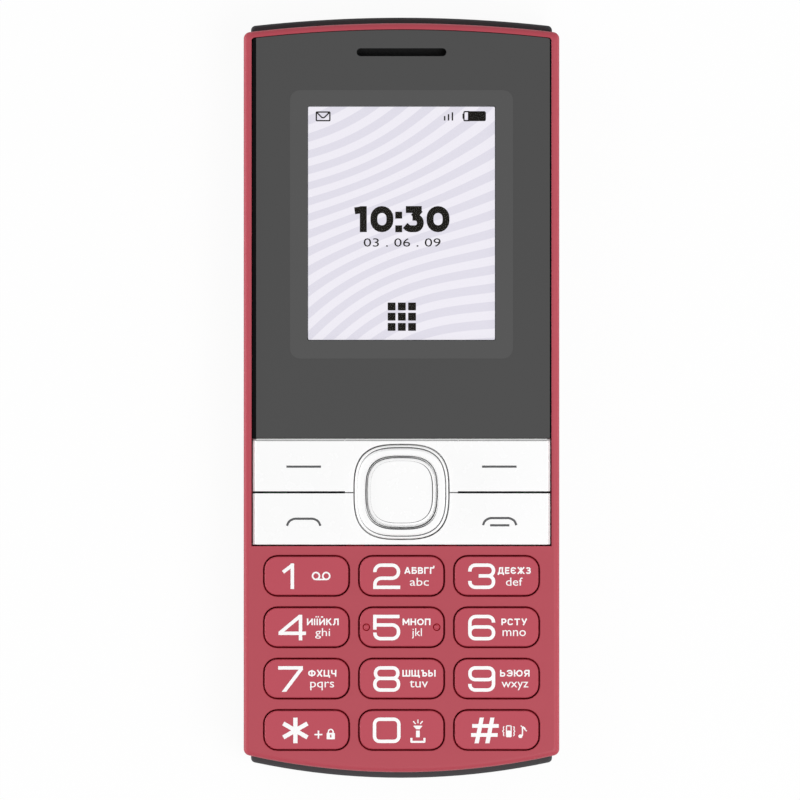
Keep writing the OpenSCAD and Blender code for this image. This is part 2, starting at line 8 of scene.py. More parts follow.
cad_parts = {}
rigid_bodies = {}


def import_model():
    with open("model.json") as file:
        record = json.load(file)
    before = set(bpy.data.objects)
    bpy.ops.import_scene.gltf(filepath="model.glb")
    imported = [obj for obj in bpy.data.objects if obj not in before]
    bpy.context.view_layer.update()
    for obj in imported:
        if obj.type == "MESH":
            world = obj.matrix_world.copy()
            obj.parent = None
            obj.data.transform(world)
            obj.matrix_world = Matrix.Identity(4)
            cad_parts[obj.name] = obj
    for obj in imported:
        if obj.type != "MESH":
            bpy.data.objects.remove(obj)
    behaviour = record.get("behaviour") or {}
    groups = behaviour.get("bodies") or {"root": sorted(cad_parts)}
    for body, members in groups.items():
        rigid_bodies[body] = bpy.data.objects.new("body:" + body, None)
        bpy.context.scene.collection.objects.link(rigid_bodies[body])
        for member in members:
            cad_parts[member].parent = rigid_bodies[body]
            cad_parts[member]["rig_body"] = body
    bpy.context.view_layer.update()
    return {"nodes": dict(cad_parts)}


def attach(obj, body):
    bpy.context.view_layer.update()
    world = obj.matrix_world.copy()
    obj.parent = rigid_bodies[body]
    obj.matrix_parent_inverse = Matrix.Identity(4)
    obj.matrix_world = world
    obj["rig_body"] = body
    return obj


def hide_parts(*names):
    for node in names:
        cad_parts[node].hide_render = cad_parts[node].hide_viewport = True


# Feature phone lying on its back, face up, seen from straight above
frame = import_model()
nodes = frame["nodes"]
scene = bpy.context.scene
mm = 0.001
print("frame loaded:", len(nodes), "nodes")


def hexColour(code):  # sRGB hex to linear
    parts = [int(code[i:i + 2], 16) / 255 for i in (1, 3, 5)]
    return [c / 12.92 if c <= 0.04045 else ((c + 0.055) / 1.055) ** 2.4 for c in parts] + [1.0]


def addNode(tree, kind, settings=None, links=None):  # sockets by name or number, else node settings
    node = tree.nodes.new("ShaderNode" + kind)
    for key, value in (settings or {}).items():
        if isinstance(key, int) or key in node.inputs:
            node.inputs[key].default_value = value
        else:
            setattr(node, key, value)
    for key, source in (links or {}).items():
        tree.links.new(source, node.inputs[key])
    return node


def newMaterial(name):
    material = bpy.data.materials.new(name)
    material.use_nodes = True
    material.node_tree.nodes.clear()
    return material, material.node_tree


# A moulded or coated part: a slow drift of tone, a fine grain in gloss and in height
def mouldedFinish(look):
    material, tree = newMaterial(look["name"])
    place = addNode(tree, "TexCoord").outputs["Object"]
    drift = addNode(tree, "TexNoise", {"Scale": 1 / (look["driftMm"] * mm), "Detail": 2.0}, {"Vector": place})
    grain = addNode(tree, "TexNoise", {"Scale": 1 / (look["grainMm"] * mm), "Detail": 3.0}, {"Vector": place})
    tones = {"data_type": "RGBA", 6: hexColour(look["base"]), 7: hexColour(look["shade"])}
    tone = addNode(tree, "Mix", tones, {0: drift.outputs[0]})
    gloss = addNode(tree, "MapRange", {"To Min": look["rough"][0], "To Max": look["rough"][1]},
                    {"Value": grain.outputs[0]})
    relief = addNode(tree, "Bump", {"Strength": 0.5, "Distance": look["reliefUm"] * 1e-6},
                     {"Height": grain.outputs[0]})
    settings = {"IOR": look.get("ior", 1.5), "Metallic": look.get("metal", 0.0),
                "Specular IOR Level": look.get("gloss", 0.5), **look.get("extra", {})}
    shader = addNode(tree, "BsdfPrincipled", settings, {"Base Color": tone.outputs[2],
                                                        "Roughness": gloss.outputs[0],
                                                        "Normal": relief.outputs[0]})
    addNode(tree, "OutputMaterial", None, {"Surface": shader.outputs[0]})
    return material


# Red ABS, moulded with a satin spark finish: soft broad highlights, no grain to see at arm's length
redShell = mouldedFinish({
    "name": "moulded red ABS shell", "base": "#B04451", "shade": "#AE424F", "driftMm": 30, "grainMm": 0.3,
    "rough": (0.46, 0.54), "reliefUm": 4, "gloss": 0.3})
# The same ABS in the key caps, a little livelier
redKeys = mouldedFinish({
    "name": "moulded red ABS keys", "base": "#B64453", "shade": "#B34251", "driftMm": 12, "grainMm": 0.3,
    "rough": (0.46, 0.54), "reliefUm": 3, "gloss": 0.3})
# The same ABS in the key gaps and on the panel's tabs, painted shade: a deeper red standing in for the shade
# of the gaps, where only light off other red walls comes
paintedShadeRed = mouldedFinish({
    "name": "red ABS in the key gaps", "base": "#A80A1C", "shade": "#A0081A", "driftMm": 12, "grainMm": 0.3,
    "rough": (0.6, 0.7), "reliefUm": 3, "gloss": 0.1})
# Black ABS with a fine etched texture: matt, with tiny glints
darkShell = mouldedFinish({
    "name": "etched black ABS", "base": "#444446", "shade": "#404042", "driftMm": 20, "grainMm": 0.22,
    "rough": (0.6, 0.75), "reliefUm": 10, "gloss": 0.2})
# White ABS, polished in the mould: bright and clean, with crisp edges
whiteKeys = mouldedFinish({
    "name": "polished white ABS", "base": "#FBFBFB", "shade": "#F9F9F9", "driftMm": 20, "grainMm": 2,
    "rough": (0.25, 0.29), "reliefUm": 0.2, "ior": 1.53})
# Acrylic, polished: deep and glossy, with black ink behind it, a paler grey ink, or clear and faintly smoked
acrylic = {"driftMm": 40, "grainMm": 0.8, "rough": (0.08, 0.12), "reliefUm": 0.2, "ior": 1.49}
printedAcrylic = mouldedFinish({"name": "black-backed acrylic", "base": "#3D3D3D", "shade": "#3A3A3A",
                                **acrylic})
greyAcrylic = mouldedFinish({"name": "grey-backed acrylic", "base": "#474747", "shade": "#454545", **acrylic})
clearAcrylic = mouldedFinish({"name": "clear acrylic", "base": "#2A2B2D", "shade": "#28292B", **acrylic,
                              "extra": {"Alpha": 0.06}})
# Black paint as painted shade on the lens edges, in the slits and on the walls under the lens, where the gaps
# fall into shadow: dead matt, it takes all light
paintedShadeBlack = mouldedFinish({
    "name": "black edge ink", "base": "#0E0E0F", "shade": "#0C0C0D", "driftMm": 10, "grainMm": 0.3,
    "rough": (0.8, 0.9), "reliefUm": 1, "gloss": 0.05})
# Polycarbonate bezel round the display: plain grey, satin
greyBezel = mouldedFinish({
    "name": "grey polycarbonate", "base": "#5F6063", "shade": "#5C5D60", "driftMm": 15, "grainMm": 0.25,
    "rough": (0.5, 0.6), "reliefUm": 4, "ior": 1.58})
# Pad-printed inks: an opaque film with a soft sheen; the grey one also draws lines of painted shade along
# gaps and edges
printed = {"driftMm": 4, "grainMm": 0.2, "rough": (0.45, 0.55), "reliefUm": 1}
whiteInk = mouldedFinish({"name": "white pad-printing ink", "base": "#FAFAFA", "shade": "#F6F6F6", **printed})
greyInkAndShade = mouldedFinish({"name": "grey pad-printing ink", "base": "#434345", "shade": "#3F3F41", **printed})
# Dark cells of the display: no light comes through them
darkCells = mouldedFinish({
    "name": "dark display cells", "base": "#15120B", "shade": "#13100A", "driftMm": 4, "grainMm": 0.2,
    "rough": (0.6, 0.7), "reliefUm": 0.5, "gloss": 0.1})

# Parts behind the face, seen only through gaps and ports
# Glass-filled nylon, moulded: black, slightly rough from its fibres
blackNylon = mouldedFinish({
    "name": "black glass-filled nylon", "base": "#2A2A2B", "shade": "#242425", "driftMm": 5, "grainMm": 0.15,
    "rough": (0.5, 0.65), "reliefUm": 8})
# Silicone rubber, moulded: milky, with light a little way into it
silicone = mouldedFinish({
    "name": "milky silicone rubber", "base": "#D6D6D2", "shade": "#CFCFCB", "driftMm": 8, "grainMm": 0.4,
    "rough": (0.55, 0.65), "reliefUm": 6,
    "extra": {"Subsurface Weight": 0.1, "Subsurface Radius": (0.001, 0.001, 0.001)}})
# Cut foam: black and dull, with open pores
softFoam = mouldedFinish({
    "name": "black cell foam", "base": "#232323", "shade": "#1B1B1B", "driftMm": 2, "grainMm": 0.3,
    "rough": (0.85, 0.95), "reliefUm": 60})
# Shrink wrap over the battery: a silvery film with faint waves
batteryWrap = mouldedFinish({
    "name": "silver shrink wrap", "base": "#C6C9CD", "shade": "#BCC0C5", "driftMm": 9, "grainMm": 1.2,
    "rough": (0.25, 0.38), "reliefUm": 12, "ior": 1.55})
# Tinned sheet steel, pressed: bright, with a soft sheen
tinnedSteel = mouldedFinish({
    "name": "tinned steel", "base": "#B9BCBF", "shade": "#A9ADB1", "driftMm": 6, "grainMm": 0.25,
    "rough": (0.28, 0.42), "reliefUm": 3, "metal": 1.0})
# Polyimide film over copper: amber and smooth
amberFlex = mouldedFinish({
    "name": "polyimide flex circuit", "base": "#B4752C", "shade": "#A86A24", "driftMm": 5, "grainMm": 0.4,
    "rough": (0.3, 0.4), "reliefUm": 2, "ior": 1.6})
# Polyester film over the snap domes: smoked and smooth
domeFilm = mouldedFinish({
    "name": "smoked film over steel domes", "base": "#26282A", "shade": "#1F2123", "driftMm": 4,
    "grainMm": 0.5, "rough": (0.3, 0.4), "reliefUm": 2})
# Cast epoxy of the torch lamp: water clear and glossy
clearEpoxy = mouldedFinish({
    "name": "water-clear epoxy", "base": "#E6EBEE", "shade": "#DDE4E8", "driftMm": 2, "grainMm": 0.5,
    "rough": (0.05, 0.1), "reliefUm": 0.2, "ior": 1.55, "extra": {"Transmission Weight": 0.6}})


# Solder mask over copper: green lacquer with paler tracks, drawn coarser than real ones so that they show
def circuitBoardFinish(look):
    material, tree = newMaterial("green solder mask")
    place = addNode(tree, "TexCoord").outputs["Object"]
    tracks = addNode(tree, "TexBrick", {"Color1": hexColour(look["mask"]), "Color2": hexColour(look["mask2"]),
                                        "Mortar": hexColour(look["track"]), "Mortar Size": look["trackShare"],
                                        "Scale": 1 / (look["trackMm"] * mm)}, {"Vector": place})
    lacquer = addNode(tree, "TexNoise", {"Scale": 1 / (look["lacquerMm"] * mm)}, {"Vector": place})
    gloss = addNode(tree, "MapRange", {"To Min": look["rough"][0], "To Max": look["rough"][1]},
                    {"Value": lacquer.outputs[0]})
    shader = addNode(tree, "BsdfPrincipled", {"IOR": look["ior"]}, {"Base Color": tracks.outputs[0],
                                                                    "Roughness": gloss.outputs[0]})
    addNode(tree, "OutputMaterial", None, {"Surface": shader.outputs[0]})
    return material


circuitBoard = circuitBoardFinish({"mask": "#1F5A38", "mask2": "#235F3C", "track": "#4E8A5E", "trackMm": 2.4,
                                   "trackShare": 0.03, "lacquerMm": 0.8, "rough": (0.3, 0.42), "ior": 1.55})


# Woven steel gauze in the earpiece, blacked: dull dark wires at a fifth of a millimetre
def gauzeFinish(look):
    material, tree = newMaterial("black woven gauze")
    place = addNode(tree, "TexCoord").outputs["Object"]
    weave = addNode(tree, "TexChecker", {"Color1": hexColour(look["wire"]), "Color2": hexColour(look["hole"]),
                                         "Scale": 1 / (look["pitchMm"] * mm)}, {"Vector": place})
    relief = addNode(tree, "Bump", {"Strength": 0.6, "Distance": look["reliefMm"] * mm},
                     {"Height": weave.outputs[1]})
    settings = {"Roughness": look["rough"], "Specular IOR Level": look["gloss"]}
    shader = addNode(tree, "BsdfPrincipled", settings, {"Base Color": weave.outputs[0],
                                                        "Normal": relief.outputs[0]})
    addNode(tree, "OutputMaterial", None, {"Surface": shader.outputs[0]})
    return material


wovenGauze = gauzeFinish({"wire": "#1B1B1C", "hole": "#080808", "pitchMm": 0.2, "reliefMm": 0.05,
                          "rough": 0.6, "gloss": 0.15})


# Lit display: pale lavender with broad soft ribbons, each about 3 mm wide
def displayFinish(look):
    material, tree = newMaterial("lit colour display")
    place = addNode(tree, "TexCoord").outputs["Object"]
    turned = addNode(tree, "Mapping", {"Location": look["centre"],
                                       "Rotation": (0, 0, radians(look["turnDeg"]))}, {"Vector": place})
    ribbons = addNode(tree, "TexWave", {"wave_type": "BANDS", "bands_direction": "X", "wave_profile": "SIN",
                                        "Scale": look["bandScale"] / (look["ribbonMm"] * mm),
                                        "Distortion": look["sway"], "Detail": 0.0,
                                        "Detail Scale": look["swayScale"]}, {"Vector": turned.outputs[0]})
    edge = addNode(tree, "MapRange", {"interpolation_type": "SMOOTHSTEP", "From Min": look["edge"][0],
                                      "From Max": look["edge"][1]}, {"Value": ribbons.outputs[1]})
    tones = {"data_type": "RGBA", 6: hexColour(look["pale"]), 7: hexColour(look["deep"])}
    tone = addNode(tree, "Mix", tones, {0: edge.outputs[0]})
    shader = addNode(tree, "BsdfPrincipled", {"Base Color": hexColour(look["glass"]),
                                              "Roughness": look["rough"], "Emission Strength": look["glow"]},
                     {"Emission Color": tone.outputs[2]})
    addNode(tree, "OutputMaterial", None, {"Surface": shader.outputs[0]})
    return material


# A wave texture of scale 0.314 has one band in each unit of length
litDisplay = displayFinish({"centre": (0.004, -0.026, 0), "turnDeg": 62, "ribbonMm": 3.0, "bandScale": 0.314,
                            "sway": 34.0, "swayScale": 0.22, "edge": (0.46, 0.54), "pale": "#ECE9F2",
                            "deep": "#DDDAE6", "glow": 1.1, "glass": "#101012", "rough": 0.3})
print("finishes ready:", len(bpy.data.materials))

# Meshes: merging distance, angles of flat, sharp and bevelled edges, and how upright a level face's normal is
meshing = {"mergeMm": 0.002, "flatDeg": 0.05, "sharpDeg": 38, "bevelDeg": 40, "levelZ": 0.9999}


def finishPiece(name, bm, material, body, sharpDeg=meshing["sharpDeg"]):
    mesh = bpy.data.meshes.new(name)
    bm.to_mesh(mesh)
    bm.free()
    mesh.materials.append(material)
    mesh.shade_smooth()
    mesh.set_sharp_from_angle(angle=radians(sharpDeg))
    for face in mesh.polygons:
        face.use_smooth = abs(face.normal.z) < meshing["levelZ"]  # level faces shade flat
    piece = bpy.data.objects.new(name, mesh)
    scene.collection.objects.link(piece)
    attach(piece, body)
    return piece


def keepFlat(piece):  # large flat faces shade flat
    flatter = piece.modifiers.new("flatter", "WEIGHTED_NORMAL")
    flatter.keep_sharp = True


def mergedCopy(nodeName, joinFlat=True):
    bm = bmesh.new()
    bm.from_mesh(nodes[nodeName].data)
    bmesh.ops.remove_doubles(bm, verts=bm.verts[:], dist=meshing["mergeMm"] * mm)
    if joinFlat:
        bmesh.ops.dissolve_limit(bm, angle_limit=radians(meshing["flatDeg"]), verts=[], edges=bm.edges[:])
    return bm


def within(c, limits):  # up to x on both sides of the middle line, between two values of y and of z
    (lowY, highY), (lowZ, highZ) = limits["y"], limits["z"]
    return abs(c.x) < limits["x"] and lowY < c.y < highY and lowZ < c.z < highZ


# A merged copy stands for its node: reshaped, chosen edges bevelled, and the faces that a mask picks painted
# in darker materials as shade
def dressedCopy(nodeName, pieceName, material, bevels=(), sharpDeg=meshing["sharpDeg"],
                reshape=None, paintedShadeAt=None, shadeMaterials=(paintedShadeRed,)):
    bm = mergedCopy(nodeName, joinFlat=bool(bevels))
    if reshape:
        reshape(bm)
    for onEdge, bevelMm, steps in bevels:
        chosen = [e for e in bm.edges if len(e.link_faces) == 2
                  and e.calc_face_angle() > radians(meshing["bevelDeg"])
                  and onEdge(e.verts[0].co / mm, e.verts[1].co / mm)]
        bmesh.ops.bevel(bm, geom=chosen, offset=bevelMm * mm, offset_type="OFFSET", affect="EDGES",
                        segments=steps, profile=0.5, material=-1, clamp_overlap=True)
    if paintedShadeAt:
        for face in bm.faces:
            face.material_index = int(paintedShadeAt(face.calc_center_median() / mm))
    piece = finishPiece(pieceName, bm, material, nodes[nodeName]["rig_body"], sharpDeg)
    for finish in shadeMaterials if paintedShadeAt else ():
        piece.data.materials.append(finish)
    keepFlat(piece)
    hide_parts(nodeName)


# Shells: the rims of the key openings and the window get a small round; the walls of the openings are painted
# darker as shade
shells = {"faceZ": 13.6, "rimMm": 0.08, "rimX": 23.2, "rimY": 56,
          "keyWalls": {"x": 21, "y": (-53.3, -23.2), "z": (11.8, 13.5)},
          "blackWalls": {"x": 18, "y": (4, 54.5), "z": (11, 12.35)}}


def onFaceRim(a, b):
    inner = max(abs(a.x), abs(b.x)) < shells["rimX"] and max(abs(a.y), abs(b.y)) < shells["rimY"]
    return inner and min(a.z, b.z) > shells["faceZ"] - meshing["mergeMm"]


def shellPaintedShade(c):  # painted shade: 1, walls of the key openings in deeper red; 2, walls of the display and earpiece openings in black
    if within(c, shells["keyWalls"]):
        return 1
    return 2 if within(c, shells["blackWalls"]) else 0


dressedCopy("front_housing", "frontShell", redShell, bevels=[(onFaceRim, shells["rimMm"], 2)],
            paintedShadeAt=shellPaintedShade, shadeMaterials=(paintedShadeRed, paintedShadeBlack))
dressedCopy("rear_housing", "rearShell", darkShell)
dressedCopy("battery_cover", "backCover", darkShell)
print("shells dressed")

# Function panel: white keys on living hinges, with a broad chamfer at the lens end
panel = {"topZ": 13.7, "edgeDepthMm": 0.43, "lensEndY": -6.16, "keyEndY": -22.1, "slitY": -14.235,
         "lensChamferMm": 0.4, "keyChamferMm": 0.1, "slitChamferMm": 0.04, "endSlackMm": 0.01,
         "slitSlackMm": 0.15, "slitWallMm": 0.16, "tabMm": 0.05, "hingeX": 8.5, "hingeMm": (0.01, 0.3),
         "hingeZ": 13.5, "reliefMm": 0.06}


def topEdgeAt(y, slackMm):  # picks the upper edges that run along y
    def onEdge(a, b):
        near = max(abs(a.y - y), abs(b.y - y)) < slackMm
        return near and min(a.z, b.z) > panel["topZ"] - panel["edgeDepthMm"]
    return onEdge


def closeHinge(bm):  # the bending edge meets the fixed middle, over a little relief
    for v in bm.verts:
        past = abs(v.co.x) / mm - panel["hingeX"]
        if panel["hingeMm"][0] < past < panel["hingeMm"][1]:
            x = panel["hingeX"] + (0 if v.co.z / mm > panel["hingeZ"] else panel["reliefMm"])
            v.co.x = x * mm * (1 if v.co.x > 0 else -1)


def onDeckTab(c):  # tabs under the deck, seen in the gap below the panel, painted deeper red as the gap's shade
    return c.y < panel["keyEndY"] - panel["tabMm"]


def inSlit(c):  # walls of the slit between two keys, painted black as the slit's shade
    return abs(c.y - panel["slitY"]) < panel["slitWallMm"]


panelBevels = [(topEdgeAt(panel["lensEndY"], panel["endSlackMm"]), panel["lensChamferMm"], 1),
               (topEdgeAt(panel["keyEndY"], panel["endSlackMm"]), panel["keyChamferMm"], 1),
               (topEdgeAt(panel["slitY"], panel["slitSlackMm"]), panel["slitChamferMm"], 1)]
for nodeName, pieceName, paintedShadeAt, shadeMaterial in (("panel_frame", "panelMiddle", onDeckTab, paintedShadeRed),
                                                   ("left_soft_key", "leftSoftKey", inSlit, paintedShadeBlack),
                                                   ("right_soft_key", "rightSoftKey", inSlit, paintedShadeBlack),
                                                   ("call_key", "callKey", inSlit, paintedShadeBlack),
                                                   ("end_key", "endKey", inSlit, paintedShadeBlack)):
    dressedCopy(nodeName, pieceName, whiteKeys, bevels=panelBevels, reshape=closeHinge,
                paintedShadeAt=paintedShadeAt, shadeMaterials=(shadeMaterial,))

# Navigation ring and middle key: a squared circle drawn out through the steps of a profile
navigation = {"centre": (0.0, -14.175), "power": 3, "segments": 112}


def squared(value):  # a circle's coordinate, drawn out towards a square
    return abs(value) ** (2 / navigation["power"]) * (1 if value > 0 else -1)


def squaredLoft(profile, closed):
    bm = bmesh.new()
    bmesh.ops.create_circle(bm, cap_ends=False, segments=navigation["segments"], radius=1.0)
    for v in bm.verts:
        for axis in (0, 1):
            v.co[axis] = squared(v.co[axis])
    firstEdges = edges = bm.edges[:]
    bmesh.ops.scale(bm, vec=(profile[0][0], profile[0][0], 1), verts=bm.verts[:])
    bmesh.ops.translate(bm, vec=(0, 0, profile[0][1]), verts=bm.verts[:])
    for before, after in zip(profile, profile[1:]):
        grown = bmesh.ops.extrude_edge_only(bm, edges=edges)["geom"]
        verts = [g for g in grown if isinstance(g, bmesh.types.BMVert)]
        edges = [g for g in grown if isinstance(g, bmesh.types.BMEdge)]
        bmesh.ops.scale(bm, vec=(after[0] / before[0], after[0] / before[0], 1), verts=verts)
        bmesh.ops.translate(bm, vec=(0, 0, after[1] - before[1]), verts=verts)
    if closed:
        bmesh.ops.bridge_loops(bm, edges=firstEdges + edges)
    else:
        bmesh.ops.edgeloop_fill(bm, edges=firstEdges)
        bmesh.ops.edgeloop_fill(bm, edges=edges)
    bmesh.ops.recalc_face_normals(bm, faces=bm.faces[:])
    bmesh.ops.scale(bm, vec=(mm, mm, mm), verts=bm.verts[:])
    x, y = navigation["centre"]
    bmesh.ops.translate(bm, vec=(x * mm, y * mm, 0), verts=bm.verts[:])
    return bm


# Half width and height, from the retaining flange up over the crown and, for the ring, down its hole
ringProfile = [(7.65, 11.6), (7.65, 11.95), (7.05, 11.95), (7.05, 13.72), (7.01, 13.86), (6.92, 13.96),
               (6.82, 14.0), (6.54, 14.0), (6.46, 14.12), (6.3, 14.2), (5.52, 14.2), (5.475, 14.14),
               (5.46, 14.05), (5.46, 12.6), (6.0, 12.6), (6.0, 11.6)]
middleProfile = [(1.5, 9.25), (1.5, 11.75), (5.75, 11.75), (5.75, 12.2), (5.29, 12.2), (5.29, 13.45),
                 (5.25, 13.5), (5.12, 13.5), (5.11, 13.85), (5.07, 13.97), (4.98, 14.05), (4.85, 14.09),
                 (4.6, 14.1)]
for nodeName, pieceName, profile, closed in (("navigation_ring", "navigationRing", ringProfile, True),
                                             ("ok_key", "middleKey", middleProfile, False)):
    crown = finishPiece(pieceName, squaredLoft(profile, closed), whiteKeys, nodeName)
    keepFlat(crown)
    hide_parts(nodeName)
print("function panel built")

# Number keys: the caps are the nodes' own form, smoothed, with their sides painted deeper red as shade
keyOrder = ["1", "2", "3", "4", "5", "6", "7", "8", "9", "star", "0", "hash"]
numberKeys = {"pitch": (14.3, 7.73), "firstRow": -26.8, "topZ": 13.95, "sideZ": 13.5, "sharpDeg": 30,
              "grooves": {"x": 6, "y": (-35.53, -33.53), "z": (0, 13.9)}}


def capPaintedShade(c):  # painted shade in deeper red: the sides of the caps, and the grooves round the dots of the middle key
    return c.z < numberKeys["sideZ"] or within(c, numberKeys["grooves"])


for sign in keyOrder:
    dressedCopy("key_" + sign, "key_" + sign + ".cap", redKeys, sharpDeg=numberKeys["sharpDeg"],
                paintedShadeAt=capPaintedShade)


# Corners of a path turned into short arcs
def roundedPath(points, radius, closed, steps=5):
    points = [Vector(p) for p in points]
    count = len(points)
    path = []
    for i, here in enumerate(points):
        if not closed and i in (0, count - 1):
            path.append(here)
            continue
        back, ahead = points[i - 1] - here, points[(i + 1) % count] - here
        toBack, toNext = back.normalized(), ahead.normalized()
        half = toBack.angle(toNext) / 2
        backShare = 0.5 if closed or i > 1 else 0.9  # an end piece has one corner only
        aheadShare = 0.5 if closed or i < count - 2 else 0.9
        reach = min(radius / tan(half), backShare * back.length, aheadShare * ahead.length)
        centre = here + (toBack + toNext).normalized() * (reach / cos(half))
        start, end = here + toBack * reach - centre, here + toNext * reach - centre
        turn = atan2(start.x * end.y - start.y * end.x, start.dot(end))
        path += [centre + Matrix.Rotation(turn * k / steps, 2) @ start for k in range(steps + 1)]
    return path


# A legend collects strokes, words and blocks in one flat mesh of ink, each a hair higher than the one before
ink = {"thickMm": 0.03, "liftMm": 0.0015, "layers": 9, "count": 0, "circleSteps": 24, "cornerSteps": 4}


def addPart(bm, part, at):
    ink["count"] = (ink["count"] + 1) % ink["layers"]
    lift = Vector((0, 0, ink["count"] * ink["liftMm"]))
    bmesh.ops.translate(part, vec=Vector(at) + lift, verts=part.verts[:])
    flat = bpy.data.meshes.new("flat")
    part.to_mesh(flat)
    part.free()
    bm.from_mesh(flat)
    bpy.data.meshes.remove(flat)


def addMesh(bm, mesh, scale, at):
    part = bmesh.new()
    part.from_mesh(mesh)
    bpy.data.meshes.remove(mesh)
    bmesh.ops.scale(part, vec=scale, verts=part.verts[:])
    addPart(bm, part, at)


def meshOf(data):  # text or curve as a mesh
    carrier = bpy.data.objects.new("carrier", data)
    scene.collection.objects.link(carrier)
    bpy.context.view_layer.update()
    mesh = bpy.data.meshes.new_from_object(carrier.evaluated_get(bpy.context.evaluated_depsgraph_get()))
    bpy.data.objects.remove(carrier)
    bpy.data.curves.remove(data)
    return mesh


def stroke(bm, points, width, at, radius=0.0, closed=False, inkMm=ink["thickMm"], taper=None):
    line = bpy.data.curves.new("stroke", "CURVE")
    line.dimensions = "3D"
    line.bevel_depth = width / 2
    line.bevel_resolution = 1
    line.use_fill_caps = True
    path = roundedPath(points, radius, closed) if radius else [Vector(p) for p in points]
    spline = line.splines.new("POLY")
    spline.points.add(len(path) - 1)
    for dot, p in zip(spline.points, path):
        dot.co = (p.x, p.y, 0, 1)
    for dot, share in zip(spline.points, taper or []):
        dot.radius = share
    spline.use_cyclic_u = closed
    addMesh(bm, meshOf(line), (1, 1, inkMm / width), at)


def drawStrokes(bm, strokes, width, at, share=1.0, fromX=0.0):
    for points, radius, closed in strokes:
        placed = [((fromX + p[0]) * share, p[1]) for p in points]
        stroke(bm, placed, width, at, radius * share, closed)


def wordMesh(text):
    data = bpy.data.curves.new("words", "FONT")
    data.body = text
    data.align_x = "CENTER"
    data.resolution_u = 3
    data.extrude = 0.5
    return meshOf(data)


def words(bm, text, width, height, at, tallLetter=None):
    gauge = wordMesh(tallLetter or text)  # its top sets the height
    tall = height / max(v.co.y for v in gauge.vertices)
    bpy.data.meshes.remove(gauge)
    mesh = wordMesh(text)
    left = min(v.co.x for v in mesh.vertices)
    right = max(v.co.x for v in mesh.vertices)
    wide = width / (right - left)
    shift = -(left + right) / 2 * wide
    addMesh(bm, mesh, (wide, tall, ink["thickMm"]), (at[0] + shift, at[1], at[2]))


def plate(width, length, height, cornerR, steps):  # box with rounded upright edges
    bm = bmesh.new()
    bmesh.ops.create_cube(bm, size=1.0)
    bmesh.ops.scale(bm, vec=(width, length, height), verts=bm.verts[:])
    if cornerR:
        corners = [e for e in bm.edges if abs(e.verts[0].co.z - e.verts[1].co.z) > height / 2]
        bmesh.ops.bevel(bm, geom=corners, offset=cornerR, offset_type="OFFSET", affect="EDGES",
                        segments=steps, profile=0.5, material=-1)
    return bm


def block(bm, width, length, at, cornerR=0.0, lean=0.0):
    part = plate(width, length, ink["thickMm"], cornerR, ink["cornerSteps"])
    for v in part.verts:
        v.co.x += lean * v.co.y
    addPart(bm, part, at)


def ringStroke(bm, radius, width, at, squash=1.0):
    turns = [2 * pi * i / ink["circleSteps"] for i in range(ink["circleSteps"])]
    stroke(bm, [(radius * cos(t), squash * radius * sin(t)) for t in turns], width, at, closed=True)


def finishInk(name, bm, material, body):  # from millimetres to metres
    bmesh.ops.scale(bm, vec=(mm, mm, mm), verts=bm.verts[:])
    finishPiece(name, bm, material, body)


# Digits: wide, squared strokes on a box of 3.5 by 3.3 mm between stroke centres
digit = {"halfW": 1.78, "halfH": 1.665, "widthMm": 0.52, "atX": -2.23, "atY": -0.06}
w, h, e = digit["halfW"], digit["halfH"], digit["widthMm"] / 2
digitStrokes = {  # each a list of (points, corner radius, closed)
    "1": [([(0.1, h + e), (0.1, -h - e)], 0, False), ([(0.1, h), (-1.3, 0.6)], 0, False)],
    "2": [([(-w, 0.62), (-w, h), (w, h), (w, -0.3), (-w, -0.3), (-w, -h - e)], 0.95, False),
          ([(-w - e, -h), (w + e, -h)], 0, False)],
    "3": [([(-w, 0.7), (-w, h), (w, h), (w, 0.05), (-0.45, 0.05)], 0.8, False),
          ([(-0.4, 0.05), (w, 0.05), (w, -h), (-w, -h), (-w, -0.7)], 0.8, False)],
    "4": [([(1.33, h + e), (1.33, -h - e)], 0, False), ([(1.25, h + 0.04), (-w, -0.8)], 0, False),
          ([(-w - 0.2, -0.86), (w + 0.37, -0.86)], 0, False)],
    "5": [([(w + 0.15, h), (-w - e, h)], 0, False), ([(-w, h + 0.2), (-w, -0.3)], 0, False),
          ([(-w, 0.4), (w, 0.4), (w, -h), (-w, -h), (-w, -0.75)], 0.95, False)],
    "6": [([(w, 0.75), (w, h), (-w, h), (-w, -0.8)], 0.9, False),
          ([(-w, -h), (w, -h), (w, 0.1), (-w, 0.1)], 0.8, True)],
    "7": [([(-w - e, h), (w - 0.09, h)], 0, False)],
    "8": [([(-w + 0.1, 0.08), (-w + 0.1, h), (w - 0.1, h), (w - 0.1, 0.08)], 0.75, True),
          ([(-w, 0.08), (w, 0.08), (w, -h), (-w, -h)], 0.8, True)],
    "9": [([(-w, -0.75), (-w, -h), (w, -h), (w, 0.8)], 0.9, False),
          ([(-w, -0.1), (w, -0.1), (w, h), (-w, h)], 0.8, True)],
    "0": [([(-w - 0.05, -h), (w + 0.05, -h), (w + 0.05, h), (-w - 0.05, h)], 0.75, True)],
}
